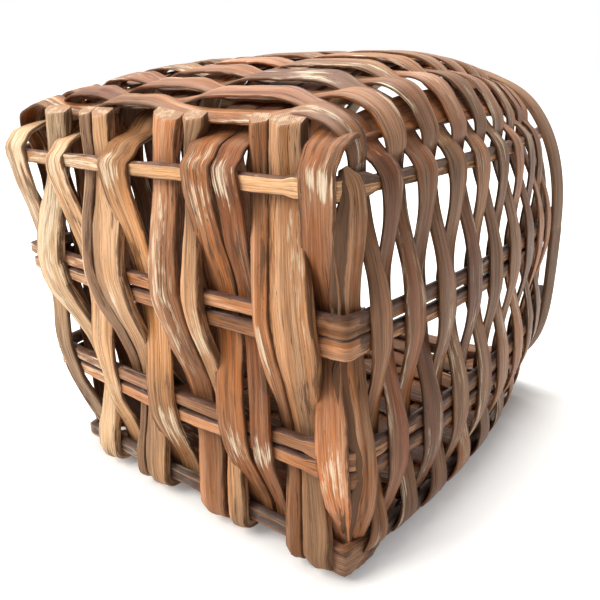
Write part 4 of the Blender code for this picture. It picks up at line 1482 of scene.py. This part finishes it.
def corner_strip(places, nearest, point, across, outward):
    """The open end of the first band, a leaning half-round strip with a broad inner side."""
    strip = 1 - ease((places - CORNER_LENGTH) / CORNER_FADE)
    lean = np.radians(CORNER_LEAN) * strip
    across = across * np.cos(lean)[:, None] + outward * np.sin(lean)[:, None]
    tip = ease(places / CORNER_TIP)
    uneven, turns = CORNER_UNEVEN
    width = CORNER_TIP_SHARE + (1 - CORNER_TIP_SHARE) * tip
    width = width * (CORNER_HALF + uneven * np.sin(places * turns))
    inward = width + CORNER_SIDE * ease(nearest / CORNER_SIDE_REACH) * strip * tip
    point = point + outward * (CORNER_STANDS_OFF * strip)[:, None]
    return strip, point, across, inward, width


def band_marks(length, shares, seed):
    """Painted shade and dirt at a band's edges, worn patches, and a drift between its two facets."""
    shaded = BAND_EDGE_SHADE_AND_GRIME[0] + BAND_EDGE_SHADE_AND_GRIME[1] * soft_noise(length * 9, 0.3, seed + 4)
    edges = ease((np.abs(shares[None, :]) - BAND_EDGE_SHADE_AND_GRIME_START) / BAND_EDGE_SHADE_AND_GRIME_RUN)
    worn = BAND_WORN * soft_noise(length[:, None] * 12, shares[None, :], seed + 5)
    side = np.sign(shares - BAND_RIDGE * math.sin(seed))[None, :]
    return {"dark": np.maximum(0.0, shaded[:, None] * edges), "worn": np.clip(worn, 0, 1),
            "tone": FACET_DRIFT * side * (-1 if seed == CORNER_SEED else 1)}


def make_band(index, band, sizes, seed):
    """A woven band round the four walls; the first starts at the near top corner."""
    side_depth, pull, half = band
    node = "ring_band_%02d" % (index + 1)
    open_ended = index == 0
    places, whole, angle, at, offsets, depths, reach_lane = band_course(index, side_depth, pull, sizes)
    offset = eased(places, at, offsets)
    if not open_ended:
        _, outward = wall_points(side_depth, angle, 0.0)
        arch = np.clip(offset, 0.0, None) / reach_lane * turned_to(outward[:, 2], TOP_START)
        offset = offset + TOP_BAND_ARCH * arch
    half = max(half, BAND_LEAST_HALF)
    turn = places / whole * 2 * math.pi
    phases = np.random.RandomState(seed).uniform(-1, 1, (2, BAND_WAVES))
    sway = sum(BAND_SWAY / (wave + 1) * np.sin((wave + 1) * turn * 2 + phase * 3)
               for wave, phase in enumerate(phases[0]))
    least = half * (CORNER_LEAST_DEPTH if open_ended else BAND_LEAST_DEPTH)
    depth = np.maximum(eased(places, at, depths) + sway, least)
    point, outward = wall_points(depth, angle, offset)
    ahead, _ = wall_points(depth + half, angle, offset)
    behind, _ = wall_points(np.maximum(depth - half, EDGE_LEAST_DEPTH), angle, offset)
    across = unit(ahead - behind)
    nearest = np.min(np.abs(places[:, None] - at[None, :]), axis=1)
    if open_ended:
        strip, point, across, inward, width = corner_strip(places, nearest, point, across, outward)
        shape, thickness, seed = stave_section(), CORNER_THICKNESS, CORNER_SEED
    else:
        width = inward = band_widths(half, turn, nearest, outward, phases[1])
        shape = roof_section(*BAND_COLUMNS, BAND_FALL, BAND_RIDGE * math.sin(seed))
        thickness = sizes.band_thickness
    rows = np.concatenate((point, across, inward[:, None], width[:, None]), 1)
    path = path_of(rows, closed=not open_ended)
    marks = band_marks(path["length"], shape[0], seed)
    if open_ended:
        # the corner strip's inner side is painted dark as the shade of the recess that it turns into
        strength, edge, run = CORNER_SIDE_SHADE
        inner_side = strength * ease((edge - shape[0]) / run)[None, :]
        marks["dark"] = np.maximum(marks["dark"], inner_side * strip[:, None])
    piece = lay_strip(node, path, shape, thickness, sizes.fibre_relief * BAND_RELIEF, seed,
                      closed=not open_ended, marks=marks)
    draws = np.random.RandomState(seed + 7)
    base = np.array(CORNER_TONE if open_ended else BAND_TONE)
    middle = tone(*(base + draws.uniform(*BAND_LIGHTNESS) + draws.uniform(*BAND_TINT, 3)))
    place_in_frame(piece, node, "brown_band",
                   wood(node + "_wood", middle, seed, streaks=0.8, cracks=0.75, pits=0.4,
                        rough=(0.36, 0.58)),
                   end_grain(node + "_end", tone(*BAND_END_TONE), seed))


class OBJECT_OT_basket_bands(bpy.types.Operator):
    """Weave the narrow bands round the four walls"""

    bl_idname = "object.basket_bands"
    bl_label = "Woven bands"

    def execute(self, context):
        for index, band in enumerate(band_rows()):
            make_band(index, band, context.scene.basket_sizes, BAND_SEED + SEED_STEP * index)
        return {"FINISHED"}


# The hoops

HOOP_TONE = (158, 116, 86)
HOOP_SPACING = 0.005
HOOP_GAP = 0.0006
HOOP_SIDE_START = 0.35
HOOP_COLUMNS = (13, 9)
HOOP_CROWN = 0.25
HOOP_EDGE = 0.5


def make_hoop(node, sign, sizes, seed):
    """A bent hoop round the mouth, on the outside or the inside of the rods' ends."""
    half = sizes.hoop_width / 2
    depth = MOUTH_REACH - half
    turned, lengths = round_table(depth, 0.0)
    places = np.linspace(0.0, lengths[-1], int(lengths[-1] / HOOP_SPACING), endpoint=False)
    angles = -np.interp(places, lengths, turned)
    _, outward = wall_points(depth, angles)
    thin = sizes.splint_thickness / 2
    core = thin + (ROD_RADIUS - thin) * turned_to(np.abs(outward[:, 0]), HOOP_SIDE_START)
    point, _ = wall_points(depth, angles, sign * (core + sizes.hoop_thickness / 2 + HOOP_GAP))
    rows = np.concatenate((point, np.tile((0.0, 1.0, 0.0, half, half), (len(point), 1))), 1)
    path = path_of(rows, closed=True)
    piece = lay_strip(node, path, flat_section(*HOOP_COLUMNS, HOOP_CROWN, HOOP_EDGE),
                      sizes.hoop_thickness, sizes.fibre_relief, seed, closed=True)
    place_in_frame(piece, node, "hoop_wood",
                   wood(node + "_wood", tone(*HOOP_TONE), seed, streaks=0.7, cracks=0.6))


class OBJECT_OT_basket_hoops(bpy.types.Operator):
    """Bend the two hoops that finish the mouth"""

    bl_idname = "object.basket_hoops"
    bl_label = "Mouth hoops"

    def execute(self, context):
        sizes = context.scene.basket_sizes
        make_hoop("mouth_hoop_outer", 1, sizes, HOOP_SEED)
        make_hoop("mouth_hoop_inner", -1, sizes, HOOP_SEED + SEED_STEP)
        return {"FINISHED"}


# The stage

CAMERA_PLACE = (0.46098, -0.56301, 0.38193)
CAMERA_TURN = 40.0
CAMERA_PITCH = 18.7
CAMERA_ROLL = 1.08
CAMERA_LENS = 41.4
SENSOR_WIDTH = 36.0
FLOOR_SIZE = 20.0
LAMP_COLOUR = (1.0, 0.965, 0.90)

# Lamps: place, the point that they are turned to, and size
KEY_LAMP = ((-1.0, -1.9, 1.9), (0.0, 0.0, 0.15), 1.6)
TOP_LAMP = ((-0.4, 0.5, 2.4), (0.0, 0.0, 0.2), 1.8)

# The floor glows white for the viewer away from the shadow: from and to a distance, strength
FLOOR_GLOW = ((0.14, 0.27, 0.5), (0.4, 2.2, 0.35))


def seen_rays(tree):
    """1 for what the viewer sees, also by reflection and through glass, else 0."""
    light = add(tree, "ShaderNodeLightPath")
    seen = sums(tree, "MAXIMUM", light.outputs["Is Camera Ray"], light.outputs["Is Glossy Ray"])
    return sums(tree, "MAXIMUM", seen, light.outputs["Is Transmission Ray"])


def floor_material(colour):
    """Pale floor that the camera sees as white but for the soft shadow."""
    material = bpy.data.materials.new("pale_floor")
    material.use_nodes = True
    tree = material.node_tree
    shader = tree.nodes["Principled BSDF"]
    shader.inputs["Roughness"].default_value = 0.9
    shader.inputs["Base Color"].default_value = (*colour, 1.0)
    here = add(tree, "ShaderNodeSeparateXYZ")
    feed(tree, here.inputs[0], add(tree, "ShaderNodeTexCoord").outputs["Object"])
    away = sums(tree, "MAXIMUM", sums(tree, "ABSOLUTE", here.outputs["X"]),
                sums(tree, "ABSOLUTE", here.outputs["Y"]))
    near, far = (between(tree, away, start, end, 0.0, strength) for start, end, strength in FLOOR_GLOW)
    glow = product(tree, seen_rays(tree), sums(tree, "ADD", near, far))
    feed(tree, shader.inputs["Emission Color"], (1.0, 1.0, 1.0, 1.0))
    feed(tree, shader.inputs["Emission Strength"], glow)
    return material


def lamp(name, place, target, size, power):
    """A soft square lamp turned to a point."""
    data = bpy.data.lights.new(name, "AREA")
    data.shape = "SQUARE"
    data.size = size
    data.energy = power
    data.color = LAMP_COLOUR
    made = bpy.data.objects.new(name, data)
    bpy.context.scene.collection.objects.link(made)
    made.location = place
    made.rotation_euler = (Vector(target) - Vector(place)).to_track_quat("-Z", "Y").to_euler()


def camera_matrix():
    """Place and turn of the camera from its angles."""
    turn, pitch, roll = (math.radians(value) for value in (CAMERA_TURN, CAMERA_PITCH, CAMERA_ROLL))
    ahead = Vector((-math.sin(turn), math.cos(turn), 0.0))
    right = Vector((math.cos(turn), math.sin(turn), 0.0))
    upright = Vector((0.0, 0.0, 1.0))
    up = math.sin(pitch) * ahead + math.cos(pitch) * upright
    look = math.cos(pitch) * ahead - math.sin(pitch) * upright
    tilted = math.cos(roll) * right - math.sin(roll) * up
    raised_up = math.sin(roll) * right + math.cos(roll) * up
    rows = zip(tilted, raised_up, -look, CAMERA_PLACE)
    return Matrix((*(tuple(row) for row in rows), (0.0, 0.0, 0.0, 1.0)))


class OBJECT_OT_basket_stage(bpy.types.Operator):
    """Set the floor, the soft light and the camera"""

    bl_idname = "object.basket_stage"
    bl_label = "Stage, light and camera"

    def execute(self, context):
        light = context.scene.basket_light
        data = bmesh.new()
        bmesh.ops.create_grid(data, x_segments=2, y_segments=2, size=FLOOR_SIZE)
        mesh = bpy.data.meshes.new("floor")
        data.to_mesh(mesh)
        data.free()
        floor = bpy.data.objects.new("floor", mesh)
        context.scene.collection.objects.link(floor)
        mesh.materials.append(floor_material(light.floor))
        world = bpy.data.worlds.new("studio")
        context.scene.world = world
        world.use_nodes = True
        tree = world.node_tree
        back = tree.nodes["Background"]
        feed(tree, back.inputs["Color"], (1.0, 1.0, 1.0, 1.0))
        feed(tree, back.inputs["Strength"], sums(tree, "MAXIMUM", seen_rays(tree), light.fill))
        lamp("key", *KEY_LAMP, light.key)
        lamp("top", *TOP_LAMP, light.top)
        camera = bpy.data.cameras.new("camera")
        camera.lens = CAMERA_LENS
        camera.sensor_width = SENSOR_WIDTH
        holder = bpy.data.objects.new("camera", camera)
        context.scene.collection.objects.link(holder)
        holder.matrix_world = camera_matrix()
        context.scene.camera = holder
        context.scene.view_settings.view_transform = "Standard"
        return {"FINISHED"}


class VIEW3D_PT_basket(bpy.types.Panel):
    """Sizes, colours and steps of the basket"""

    bl_idname = "VIEW3D_PT_basket"
    bl_label = "Splint basket"
    bl_space_type = "VIEW_3D"
    bl_region_type = "UI"
    bl_category = "Basket"

    def draw(self, context):
        scene = context.scene
        for holder in (scene.basket_sizes, scene.basket_colours, scene.basket_light):
            box = self.layout.box()
            for name in holder.__annotations__:
                box.prop(holder, name)
        for step in STEPS:
            self.layout.operator(step.bl_idname)


STEPS = (
    OBJECT_OT_basket_rods,
    OBJECT_OT_basket_splints,
    OBJECT_OT_basket_staves,
    OBJECT_OT_basket_bands,
    OBJECT_OT_basket_hoops,
    OBJECT_OT_basket_stage,
)
CLASSES = (BasketSizes, BasketColours, BasketLight, *STEPS, VIEW3D_PT_basket)


def register():
    for kind in CLASSES:
        bpy.utils.register_class(kind)
    bpy.types.Scene.basket_sizes = bpy.props.PointerProperty(type=BasketSizes)
    bpy.types.Scene.basket_colours = bpy.props.PointerProperty(type=BasketColours)
    bpy.types.Scene.basket_light = bpy.props.PointerProperty(type=BasketLight)


def unregister():
    del bpy.types.Scene.basket_light
    del bpy.types.Scene.basket_colours
    del bpy.types.Scene.basket_sizes
    for kind in reversed(CLASSES):
        bpy.utils.unregister_class(kind)


def main():
    """Make every piece and the stage."""
    register()
    bpy.ops.object.basket_rods()
    bpy.ops.object.basket_splints()
    bpy.ops.object.basket_staves()
    bpy.ops.object.basket_bands()
    bpy.ops.object.basket_hoops()
    bpy.ops.object.basket_stage()


if __name__ == "__main__":
    main()
